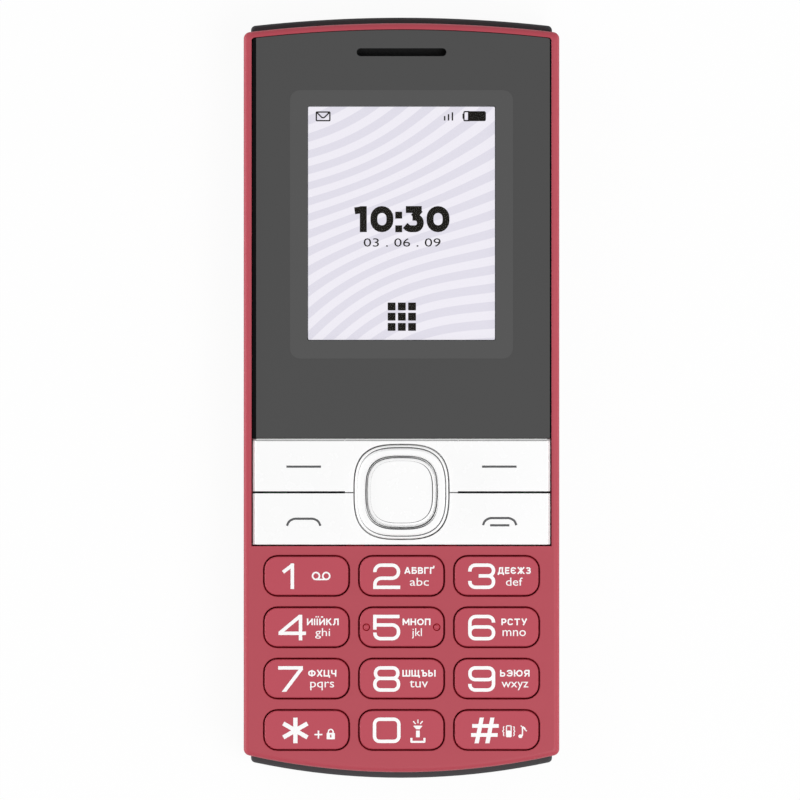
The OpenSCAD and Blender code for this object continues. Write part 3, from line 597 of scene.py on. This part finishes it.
letters = {  # upper row, its width and middle, lower row, its width, middle and height
    "2": ("АБВГҐ", 4.58, 2.7, "abc", 2.86, 2.69, 1.2),
    "3": ("ДЕЄЖЗ", 4.99, 2.66, "def", 2.53, 2.68, 1.2),
    "4": ("ИІЇЙКЛ", 4.78, 2.46, "ghi", 2.24, 2.43, 1.18),
    "5": ("МНОП", 4.2, 2.26, "jkl", 1.51, 2.31, 1.18),
    "6": ("РСТУ", 3.9, 2.68, "mno", 3.51, 2.66, 1.32),
    "7": ("ФХЦЧ", 4.25, 2.37, "pqrs", 3.6, 2.36, 1.28),
    "8": ("ШЩЪЫ", 5.0, 2.63, "tuv", 2.75, 2.6, 1.34),
    "9": ("ЬЭЮЯ", 4.45, 2.75, "wxyz", 4.03, 2.77, 1.28),
}
letterRows = {"upperY": 0.4, "lowerY": (-1.48, -1.33, -1.33), "tallLetter": "d"}

# Capitals of the upper row: strokes on a box 0.8 mm high, with the width of each between stroke centres
capital = {"lineMm": 0.21, "spaceMm": 0.34, "topY": 0.8, "midY": 0.41, "overMm": 0.1}
top, middle, over = capital["topY"], capital["midY"], capital["overMm"]


def upright(x, low=-over, high=top + over):
    return ([(x, low), (x, high)], 0, False)


def level(fromX, toX, y):
    return ([(fromX, y), (toX, y)], 0, False)


def slant(fromX, fromY, toX, toY):
    return ([(fromX, fromY), (toX, toY)], 0, False)


def bowl(stemX, farX, low, high, radius=0.2):
    return ([(stemX, high), (farX, high), (farX, low), (stemX, low)], radius, False)


def oval(fromX, toX, low, high, radius):
    return ([(fromX, low), (toX, low), (toX, high), (fromX, high)], radius, True)


def crescent(backX, tipX):
    inner = tipX + 0.14 * (1 if backX > tipX else -1)
    return ([(tipX, 0.63), (inner, top), (backX, top), (backX, 0), (inner, 0), (tipX, 0.17)], 0.34, False)


capitals = {
    "А": (0.72, [slant(0, -over, 0.36, top + over), slant(0.36, top + over, 0.72, -over),
                 level(0.14, 0.58, 0.2)]),
    "Б": (0.55, [upright(0), level(0, 0.55, top), bowl(0, 0.55, 0, 0.45)]),
    "В": (0.55, [upright(0), bowl(0, 0.5, middle, top, 0.18), bowl(0, 0.55, 0, middle)]),
    "Г": (0.48, [upright(0), level(0, 0.56, top)]),
    "Ґ": (0.48, [upright(0), level(0, 0.5, top), upright(0.45, top, 1.12)]),
    "Д": (0.74, [slant(0.12, 0, 0.22, top + over), level(0.2, 0.62, top), upright(0.6, 0),
                 level(-0.1, 0.84, 0), upright(0, -0.27, 0), upright(0.74, -0.27, 0)]),
    "Е": (0.5, [upright(0), level(0, 0.56, top), level(0, 0.5, middle), level(0, 0.56, 0)]),
    "Є": (0.6, [crescent(0, 0.62), level(0, 0.46, middle)]),
    "Ж": (0.95, [upright(0.475), slant(0, -over, 0.95, top + over), slant(0, top + over, 0.95, -over)]),
    "З": (0.52, [([(0, 0.68), (0.08, top), (0.48, top), (0.48, middle), (0.15, middle)], 0.18, False),
                 ([(0.17, middle), (0.53, middle), (0.53, 0), (0.08, 0), (-0.02, 0.13)], 0.19, False)]),
    "И": (0.62, [upright(0), upright(0.62), slant(0, 0.03, 0.62, top - 0.03)]),
    "І": (0.0, [upright(0)]),
    "Ї": (0.06, [upright(0.03), level(-0.21, -0.03, 1.16), level(0.09, 0.27, 1.16)]),
    "Й": (0.62, [upright(0), upright(0.62), slant(0, 0.03, 0.62, top - 0.03), level(0.16, 0.46, 1.14)]),
    "К": (0.58, [upright(0), slant(0, 0.34, 0.58, top + over), slant(0.2, 0.5, 0.62, -over)]),
    "Л": (0.64, [([(0.2, top), (0.17, 0.2), (0.08, 0), (-0.08, 0)], 0.1, False), level(0.1, 0.7, top),
                 upright(0.64)]),
    "М": (0.8, [upright(0), upright(0.8), slant(0.02, top, 0.4, 0.16), slant(0.4, 0.16, 0.78, top)]),
    "Н": (0.62, [upright(0), upright(0.62), level(0, 0.62, middle)]),
    "О": (0.78, [oval(0, 0.78, 0, top, 0.39)]),
    "П": (0.62, [upright(0), upright(0.62), level(0, 0.62, top)]),
    "Р": (0.52, [upright(0), bowl(0, 0.52, 0.31, top, 0.23)]),
    "С": (0.6, [crescent(0, 0.62)]),
    "Т": (0.64, [level(-0.08, 0.72, top), upright(0.32, -over, top)]),
    "У": (0.66, [slant(0, top + over, 0.34, 0.24), slant(0.66, top + over, 0.2, -over)]),
    "Ф": (0.88, [upright(0.44), oval(0, 0.88, 0.1, 0.7, 0.3)]),
    "Х": (0.66, [slant(0, -over, 0.66, top + over), slant(0, top + over, 0.66, -over)]),
    "Ц": (0.72, [upright(0), upright(0.6), level(0, 0.82, 0), upright(0.72, -0.27, 0)]),
    "Ч": (0.56, [upright(0.56), ([(0, top + over), (0, 0.33), (0.56, 0.33)], 0.2, False)]),
    "Ш": (0.92, [upright(0), upright(0.46), upright(0.92), level(0, 0.92, 0)]),
    "Щ": (1.02, [upright(0), upright(0.45), upright(0.9), level(0, 1.12, 0), upright(1.02, -0.27, 0)]),
    "Ъ": (0.68, [level(-0.08, 0.2, top), upright(0.2), bowl(0.2, 0.68, 0, 0.46, 0.21)]),
    "Ы": (0.84, [upright(0), bowl(0, 0.48, 0, 0.46, 0.21), upright(0.84)]),
    "Ь": (0.5, [upright(0), bowl(0, 0.5, 0, 0.46, 0.21)]),
    "Э": (0.6, [crescent(0.6, -0.02), level(0.14, 0.6, middle)]),
    "Ю": (0.96, [upright(0), level(0, 0.3, middle), oval(0.3, 0.96, 0, top, 0.32)]),
    "Я": (0.54, [upright(0.54), bowl(0.54, 0, 0.34, top, 0.22), slant(0.26, 0.34, 0, -over)]),
}


def capitalRow(bm, text, width, at):
    total = sum(capitals[c][0] for c in text) + capital["spaceMm"] * (len(text) - 1)
    share = (width - capital["lineMm"]) / total
    x = -total / 2
    for c in text:
        drawStrokes(bm, capitals[c][1], capital["lineMm"], at, share, x)
        x += capitals[c][0] + capital["spaceMm"]


def keyCentre(index):
    return ((index % 3 - 1) * numberKeys["pitch"][0],
            numberKeys["firstRow"] - (index // 3) * numberKeys["pitch"][1], numberKeys["topZ"])


def arm(reach, turnDeg):  # line through the middle
    x, y = reach * cos(radians(turnDeg)), reach * sin(radians(turnDeg))
    return [(-x, -y), (x, y)]


def ray(turnDeg):  # one of the torch's rays
    c, s = cos(radians(turnDeg)), sin(radians(turnDeg))
    return [(0.55 * c, 0.55 * s), (1.15 * c, 1.1 * s)]


shake = [(0.7, 0.74), (0.83, 0.55), (0.76, 0.22), (0.92, 0), (0.76, -0.22), (0.83, -0.55), (0.7, -0.74)]
keyMarks = {  # what draws each mark, where on the key, its two sizes or its points and width, and more
    "1": [  # two reels of a message tape
        (ringStroke, (1.43, -0.02), (0.52, 0.24), {}),
        (ringStroke, (2.97, -0.02), (0.52, 0.24), {}),
        (stroke, (2.2, -0.54), (arm(0.8, 0), 0.24), {})],
    "7": [(block, (-2.11, -0.3), (0.66, 3.38), {"lean": 0.76})],  # its leg, with a level foot
    "star": [  # star, plus and a padlock round its keyhole
        (stroke, (-1.67, -0.08), (arm(1.92, 90), 0.64), {}),
        (stroke, (-1.67, -0.08), (arm(2.1, 150), 0.64), {}),
        (stroke, (-1.67, -0.08), (arm(2.1, 210), 0.64), {}),
        (stroke, (1.8, -0.7), (arm(0.6, 0), 0.22), {}),
        (stroke, (1.8, -0.7), (arm(0.6, 90), 0.22), {}),
        (block, (3.29, -0.93), (0.52, 0.96), {"cornerR": 0.1}),
        (block, (4.01, -0.93), (0.52, 0.96), {"cornerR": 0.1}),
        (block, (3.65, -1.28), (0.6, 0.26), {}),
        (block, (3.65, -0.57), (0.6, 0.26), {}),
        (stroke, (3.65, -0.25), ([(-0.36, -0.5), (-0.36, 0.32), (0.36, 0.32), (0.36, -0.5)], 0.2),
         {"radius": 0.35})],
    "0": [  # torch with rays, standing in a holder
        *[(stroke, (2.47, 0.45), (ray(turnDeg), 0.17), {}) for turnDeg in (52, 90, 128)],
        (block, (2.47, 0.56), (1.28, 0.15), {}),
        (block, (2.47, 0.43), (1.1, 0.15), {}),
        (block, (2.47, 0.3), (0.84, 0.15), {}),
        (block, (2.47, 0.17), (0.62, 0.15), {}),
        (block, (2.47, -0.6), (0.56, 1.0), {}),
        (stroke, (2.47, -1.8), ([(-0.98, 0.6), (-0.98, 0), (0.98, 0), (0.98, 0.6)], 0.31), {"radius": 0.05})],
    "hash": [  # hash, a handset that shakes and a note
        (block, (-2.6, -0.08), (0.63, 3.86), {"lean": 0.2}),
        (block, (-1.0, -0.08), (0.63, 3.86), {"lean": 0.2}),
        (stroke, (-1.75, -0.08), ([(-2.0816, -0.68), (1.9184, -0.68)], 0.56), {}),
        (stroke, (-1.75, -0.08), ([(-1.9184, 0.68), (2.0816, 0.68)], 0.56), {}),
        (stroke, (1.85, -0.2), ([(-0.35, -0.82), (0.35, -0.82), (0.35, 0.82), (-0.35, 0.82)], 0.16),
         {"radius": 0.08, "closed": True}),
        (block, (1.85, -0.57), (0.7, 0.95), {}),
        *[(stroke, (1.85, -0.2), ([(side * x, y) for x, y in shake], 0.15), {}) for side in (-1, 1)],
        (ringStroke, (3.6, -0.95), (0.16, 0.3), {"squash": 0.8}),
        (stroke, (3.6, -0.15), ([(0.3, -0.75), (0.3, 0.8), (0.75, 0.25)], 0.18), {"radius": 0.12}),
        (stroke, (3.75, 0.05), ([(-0.1, 0.6), (0.8, -0.25)], 0.15), {})],
}


def drawMarks(bm, marks, at):
    for draw, (x, y), sizes, more in marks:
        draw(bm, *sizes, (at[0] + x, at[1] + y, at[2]), **more)


for index, sign in enumerate(keyOrder):
    at = keyCentre(index)
    bm = bmesh.new()
    digitAt = (at[0] + digit["atX"], at[1] + digit["atY"], at[2])
    drawStrokes(bm, digitStrokes.get(sign, []), digit["widthMm"], digitAt)
    if sign in letters:
        upper, upperW, upperX, lower, lowerW, lowerX, lowerH = letters[sign]
        capitalRow(bm, upper, upperW, (at[0] + upperX, at[1] + letterRows["upperY"], at[2]))
        lowerAt = (at[0] + lowerX, at[1] + letterRows["lowerY"][index // 3], at[2])
        words(bm, lower, lowerW, lowerH, lowerAt, letterRows["tallLetter"])
    drawMarks(bm, keyMarks.get(sign, []), at)
    finishInk("key_" + sign + ".legend", bm, whiteInk, "key_" + sign)
print("number keys and legends done")

# Signs on the white keys, one piece on each, with a thin grey line painted as the shade of the gap along the
# lens end
panelSigns = {"inkMm": 0.025, "lineMm": 0.33, "z": 13.7, "seamY": -6.44, "seamZ": 13.6, "seamMm": 0.07,
              "seamX": (8.45, 8.6, 21.9), "hairlineMm": 0.17, "hairlineY": -14.275, "hairlineX": (8.5, 7.24)}


def lensSeamShade(bm, fromX, toX):
    stroke(bm, [(fromX, 0), (toX, 0)], panelSigns["seamMm"], (0, panelSigns["seamY"], panelSigns["seamZ"]),
           inkMm=panelSigns["inkMm"])


softLine = [(-2.6, 0), (2.6, 0)]
arc = [(-2.52, -0.62), (-2.2, 0.12), (-1.45, 0.44), (1.45, 0.44), (2.2, 0.12), (2.52, -0.62)]
signStrokes = {  # points, place and corner radius
    "left_soft_key": [(softLine, (-14.72, -10.37), 0)],
    "right_soft_key": [(softLine, (14.72, -10.37), 0)],
    "call_key": [(arc, (-14.72, -18.65), 1.1)],
    "end_key": [(arc, (14.78, -18.55), 1.1), ([(-1.45, 0), (1.45, 0)], (14.78, -19.2), 0)],
}
for body, strokes in signStrokes.items():
    bm = bmesh.new()
    for points, at, radius in strokes:
        stroke(bm, points, panelSigns["lineMm"], (*at, panelSigns["z"]), radius, inkMm=panelSigns["inkMm"])
    if body.endswith("soft_key"):
        side = -1 if body.startswith("left") else 1
        lensSeamShade(bm, side * panelSigns["seamX"][1], side * panelSigns["seamX"][2])
    finishInk(body + ".sign", bm, greyInkAndShade, body)

bm = bmesh.new()
for side in (-1, 1):  # a grey line, painted as the shade of a scored line, carries each slit on to the ring
    stroke(bm, [(side * x, 0) for x in panelSigns["hairlineX"]], panelSigns["hairlineMm"],
           (0, panelSigns["hairlineY"], panelSigns["z"]), inkMm=panelSigns["inkMm"])
lensSeamShade(bm, -panelSigns["seamX"][0], panelSigns["seamX"][0])
finishInk("panelHairline", bm, greyInkAndShade, "handset")

# Grey lines painted as shade round the ring and the middle key, on each side as wide as the shade there: half
# width, height, and widths at right, top, left, bottom
navigationShadeLines = {
    "navigationRing.line": ("navigation_ring", [(6.66, 14.0, (0.16, 0.2, 0.01, 0.17)),
                                                (5.59, 14.2, (0.01, 0.01, 0.01, 0.22))]),
    "middleKey.line": ("ok_key", [(4.68, 14.1, (0.16, 0.02, 0.01, 0.07)),
                                  (5.175, 13.5, (0.02, 0.13, 0.08, 0.02))]),
}
for pieceName, (body, lines) in navigationShadeLines.items():
    bm = bmesh.new()
    for half, z, widths in lines:
        points, taper = [], []
        for i in range(navigation["segments"]):
            turn = 2 * pi * i / navigation["segments"]
            c, s = cos(turn), sin(turn)
            sideMm, endMm = widths[0 if c > 0 else 2], widths[1 if s > 0 else 3]
            points.append((half * squared(c), half * squared(s)))
            taper.append((c * c * sideMm + s * s * endMm) / max(widths))
        stroke(bm, points, max(widths), (*navigation["centre"], z), 0.0, True, panelSigns["inkMm"], taper)
    finishInk(pieceName, bm, greyInkAndShade, body)

# Display lens: black print all round, its edges painted black as the shadow of the gap round it, a grey
# surround, clear over the display
lens = {"x": (-16.78, 16.78), "y": (5.9, 46.3), "z": (12.4, 13.45), "cornerR": 1.5, "cornerSteps": 8,
        "inkedX": (-21.87, 22.32), "farX": 40, "cutMm": 1e-4, "archY": 53.2, "archZ": 13.4,
        "archMm": (0.05, 0.12),
        "slotWalls": {"x": 7.6, "y": (50, 54.2), "z": (12.45, 13.4)}, "cutZ": (12, 14), "slackMm": 0.004}
displayHole = {"x": (-14.16, 14.16), "y": (8.6, 43.92), "cornerR": 0.25}


def lensPlate(outline, z, slackMm=0.0):  # rounded plate on an outline, less a little slack
    (lowX, highX), (lowY, highY), (lowZ, highZ) = outline["x"], outline["y"], z
    lowX, highX, lowY, highY = lowX + slackMm, highX - slackMm, lowY + slackMm, highY - slackMm
    bm = plate((highX - lowX) * mm, (highY - lowY) * mm, (highZ - lowZ) * mm, outline["cornerR"] * mm,
               lens["cornerSteps"])
    middleAt = ((lowX + highX) / 2 * mm, (lowY + highY) / 2 * mm, (lowZ + highZ) / 2 * mm)
    bmesh.ops.translate(bm, vec=middleAt, verts=bm.verts[:])
    return bm


def cutAway(piece, cutBm):
    cutMesh = bpy.data.meshes.new("cut")
    cutBm.to_mesh(cutMesh)
    cutBm.free()
    cutter = bpy.data.objects.new("cut", cutMesh)
    scene.collection.objects.link(cutter)
    opening = piece.modifiers.new("opening", "BOOLEAN")
    opening.object = cutter
    opening.solver = "EXACT"
    bpy.context.view_layer.update()
    cutResult = bpy.data.meshes.new_from_object(piece.evaluated_get(bpy.context.evaluated_depsgraph_get()))
    piece.modifiers.clear()
    piece.data = cutResult
    bpy.data.objects.remove(cutter)


def lensSlice(fromX, toX):  # part of the lens between two upright planes
    bm = mergedCopy("display_lens")
    for v in bm.verts:  # the arched end nearly meets the rim
        if v.co.y / mm > lens["archY"]:
            v.co.y += lens["archMm"][int(v.co.z / mm > lens["archZ"])] * mm
    for atX, side in ((fromX, -1), (toX, 1)):
        geom = bm.verts[:] + bm.edges[:] + bm.faces[:]
        cut = bmesh.ops.bisect_plane(bm, geom=geom, dist=lens["cutMm"] * mm,
                                     plane_co=(atX * mm, 0, 0), plane_no=(side, 0, 0),
                                     clear_outer=True)["geom_cut"]
        rim = [g for g in cut if isinstance(g, bmesh.types.BMEdge)]
        if rim:
            bmesh.ops.edgeloop_fill(bm, edges=rim)
    bmesh.ops.recalc_face_normals(bm, faces=bm.faces[:])
    return bm


bm = lensSlice(*lens["inkedX"])
for face in bm.faces:  # walls of the earpiece slot are painted black as shade too
    face.material_index = int(within(face.calc_center_median() / mm, lens["slotWalls"]))
printedLens = finishPiece("printedLens", bm, printedAcrylic, "handset")
printedLens.data.materials.append(paintedShadeBlack)
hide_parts("display_lens")
# Black strips painted as the shadow along the lens edges, wider on the left
for pieceName, fromX, toX in (("lensEdge.left", -lens["farX"], lens["inkedX"][0]),
                              ("lensEdge.right", lens["inkedX"][1], lens["farX"])):
    finishPiece(pieceName, lensSlice(fromX, toX), paintedShadeBlack, "handset")
cutAway(printedLens, lensPlate(lens, lens["cutZ"]))
surround = lensPlate(lens, lens["z"], lens["slackMm"])
displaySurround = finishPiece("displaySurround", surround, greyAcrylic, "handset")
cutAway(displaySurround, lensPlate(displayHole, lens["cutZ"]))
pane = lensPlate(displayHole, lens["z"], lens["slackMm"])
finishPiece("clearPane", pane, clearAcrylic, "handset")

# Display: lit glass, bezel, and dark signs on the glass
dressedCopy("lcd_panel", "displayGlass", litDisplay)
dressedCopy("lcd_frame", "displayBezel", greyBezel)
glassZ = 10.57
clock = {"halfH": 1.45, "lineMm": 1.04, "y": 26.88, "colonX": -0.42, "colonY": (-1.45, 0.6)}
half = clock["halfH"]
roundNought = oval(-1.2, 1.2, -half, half, 1.2)
clockDigits = [
    (-5.75, [slant(0, half + 0.5, 0, -half - 0.5), slant(0.1, half, -1.3, half - 0.2)]),
    (-2.95, [roundNought]),
    (1.85, [level(-1.2, 1.2, half), slant(0.95, half, -0.05, 0.3),
            ([(-0.2, 0.3), (0.98, 0.3), (0.98, -half), (-0.75, -half), (-1.3, -0.95)], 0.8, False)]),
    (5.5, [roundNought]),
]
bm = bmesh.new()
for x, strokes in clockDigits:
    drawStrokes(bm, strokes, clock["lineMm"], (x, clock["y"], glassZ))
for y in clock["colonY"]:
    block(bm, clock["lineMm"], clock["lineMm"], (clock["colonX"], clock["y"] + y, glassZ))
date = {"text": "03 . 06 . 09", "width": 11.6, "height": 1.25, "at": (0.1, 22.75)}
words(bm, date["text"], date["width"], date["height"], (*date["at"], glassZ))
menu = {"squareMm": 1.18, "pitchMm": 1.54, "at": (0.05, 12.2), "cornerR": 0.08}
for row in (-1, 0, 1):
    for column in (-1, 0, 1):
        x, y = menu["pitchMm"] * column + menu["at"][0], menu["at"][1] + menu["pitchMm"] * row
        block(bm, menu["squareMm"], menu["squareMm"], (x, y, glassZ), menu["cornerR"])
statusMarks = [  # envelope, bars of the signal, battery
    (stroke, (-11.8, 42.35), ([(-1.02, -0.65), (1.02, -0.65), (1.02, 0.65), (-1.02, 0.65)], 0.2),
     {"radius": 0.1, "closed": True}),
    (stroke, (-11.8, 42.35), ([(-0.95, 0.6), (-0.15, -0.2), (0.15, -0.2), (0.95, 0.6)], 0.2),
     {"radius": 0.15}),
    *[(block, (6.5 + 0.58 * k, 42.06 + 0.14 * k), (0.22, 0.68 + 0.28 * k), {}) for k in range(3)],
    (block, (11.35, 42.38), (2.7, 1.5), {"cornerR": 0.25}),
    (stroke, (9.75, 42.38), ([(0.5, -0.68), (-0.35, -0.68), (-0.35, 0.68), (0.5, 0.68)], 0.2),
     {"radius": 0.15}),
    (block, (9.28, 42.38), (0.2, 0.75), {"cornerR": 0.05}),
]
drawMarks(bm, statusMarks, (0, 0, glassZ))
finishInk("displaySigns", bm, darkCells, "handset")
print("display built")

# Sockets and torch at the ends
dressedCopy("torch_led", "torchLamp", clearEpoxy)
dressedCopy("usb_connector", "chargingSocket", tinnedSteel)
dressedCopy("headset_jack", "headsetSocket", blackNylon)

# The rest stays as the nodes are, with its own finish
finishOf = {
    "battery": batteryWrap, "lens_tape": softFoam, "earpiece_mesh": wovenGauze, "lcd_flex": amberFlex,
    "display_gasket": softFoam, "main_board": circuitBoard, "shield_can": tinnedSteel, "dome_sheet": domeFilm,
    "keypad_mat": silicone, "navigation_pad": silicone, "earpiece_receiver": tinnedSteel,
    "loudspeaker": blackNylon, "microphone": tinnedSteel, "vibration_motor": tinnedSteel,
    "vibration_weight": tinnedSteel, "sim_socket": tinnedSteel, "battery_connector": blackNylon,
    "antenna": amberFlex, "housing_screws": tinnedSteel,
}
for nodeName, material in finishOf.items():
    nodes[nodeName].data.materials.clear()
    nodes[nodeName].data.materials.append(material)
print("inner nodes finished:", len(finishOf))


def backgroundRays(tree):  # 1 where the background is seen, also in gloss and through glass
    path = addNode(tree, "LightPath")
    seen = path.outputs["Is Camera Ray"]
    for kind in ("Is Glossy Ray", "Is Transmission Ray"):
        seen = addNode(tree, "Math", {"operation": "MAXIMUM"}, {0: seen, 1: path.outputs[kind]}).outputs[0]
    return seen


# Matt paper as the floor: it stays white to the camera and keeps a soft shadow
def floorFinish(look):
    material, tree = newMaterial("matt white paper")
    place = addNode(tree, "TexCoord").outputs["Object"]
    fibre = addNode(tree, "TexNoise", {"Scale": 1 / (look["fibreMm"] * mm)}, {"Vector": place})
    tones = {"data_type": "RGBA", 6: hexColour(look["paper"]), 7: hexColour(look["fibre"])}
    tone = addNode(tree, "Mix", tones, {0: fibre.outputs[0]})
    paper = addNode(tree, "BsdfDiffuse", None, {"Color": tone.outputs[2]})
    white = addNode(tree, "Emission", {"Strength": 1.0})
    share = addNode(tree, "Math", {"operation": "MULTIPLY", 1: look["whiteShare"]}, {0: backgroundRays(tree)})
    mixed = addNode(tree, "MixShader", None, {0: share.outputs[0], 1: paper.outputs[0], 2: white.outputs[0]})
    addNode(tree, "OutputMaterial", None, {"Surface": mixed.outputs[0]})
    return material


studio = {"floorM": 4.0, "floorZmm": -0.05, "worldLevel": 0.36, "whiteShare": 0.94, "paper": "#F8F8F8",
          "fibre": "#F6F6F6", "fibreMm": 2}
bm = bmesh.new()
bmesh.ops.create_grid(bm, x_segments=2, y_segments=2, size=studio["floorM"])
floorMesh = bpy.data.meshes.new("floor")
bm.to_mesh(floorMesh)
bm.free()
floorMesh.materials.append(floorFinish(studio))
floor = bpy.data.objects.new("floor", floorMesh)
floor.location.z = studio["floorZmm"] * mm
scene.collection.objects.link(floor)

world = bpy.data.worlds.new("studio")
world.use_nodes = True
scene.world = world
tree = world.node_tree
tree.nodes.clear()
strength = addNode(tree, "MapRange", {"To Min": studio["worldLevel"], "To Max": 1.0},
                   {"Value": backgroundRays(tree)})
sky = addNode(tree, "Background", {"Color": (1, 1, 1, 1)}, {"Strength": strength.outputs[0]})
addNode(tree, "OutputWorld", None, {"Surface": sky.outputs[0]})

# Soft boxes: the strongest at the lower right, a weak one opposite, and a low strip along each side
lamps = {"keyBox": {"at": (0.3, -0.25, 0.8), "watts": 4.9, "size": (0.45, 0.45)},
         "fillBox": {"at": (-0.6, 0.5, 0.7), "watts": 1.2, "size": (0.6, 0.6)},
         "leftStrip": {"at": (-0.8, 0, 0.05), "watts": 3.4, "size": (0.6, 0.06)},
         "rightStrip": {"at": (0.8, 0, 0.05), "watts": 1.5, "size": (0.6, 0.06)}}
for name, lamp in lamps.items():
    light = bpy.data.lights.new(name, "AREA")
    light.shape = "RECTANGLE"
    light.energy = lamp["watts"]
    light.size, light.size_y = lamp["size"]
    holder = bpy.data.objects.new(name, light)
    holder.location = lamp["at"]
    holder.rotation_euler = (-Vector(lamp["at"])).to_track_quat("-Z", "Y").to_euler()
    holder.visible_camera = False
    scene.collection.objects.link(holder)

# Camera straight above, framed as the photograph is: 0.1505 mm to a pixel
view = {"frameMm": 120.4, "atMm": (-0.226, -0.339), "heightM": 0.6, "farM": 20}
camera = bpy.data.cameras.new("camera")
camera.type = "ORTHO"
camera.ortho_scale = view["frameMm"] * mm
camera.clip_end = view["farM"]
eye = bpy.data.objects.new("camera", camera)
eye.location = (view["atMm"][0] * mm, view["atMm"][1] * mm, view["heightM"])
scene.collection.objects.link(eye)
scene.camera = eye
scene.view_settings.view_transform = "Standard"
print("studio set")
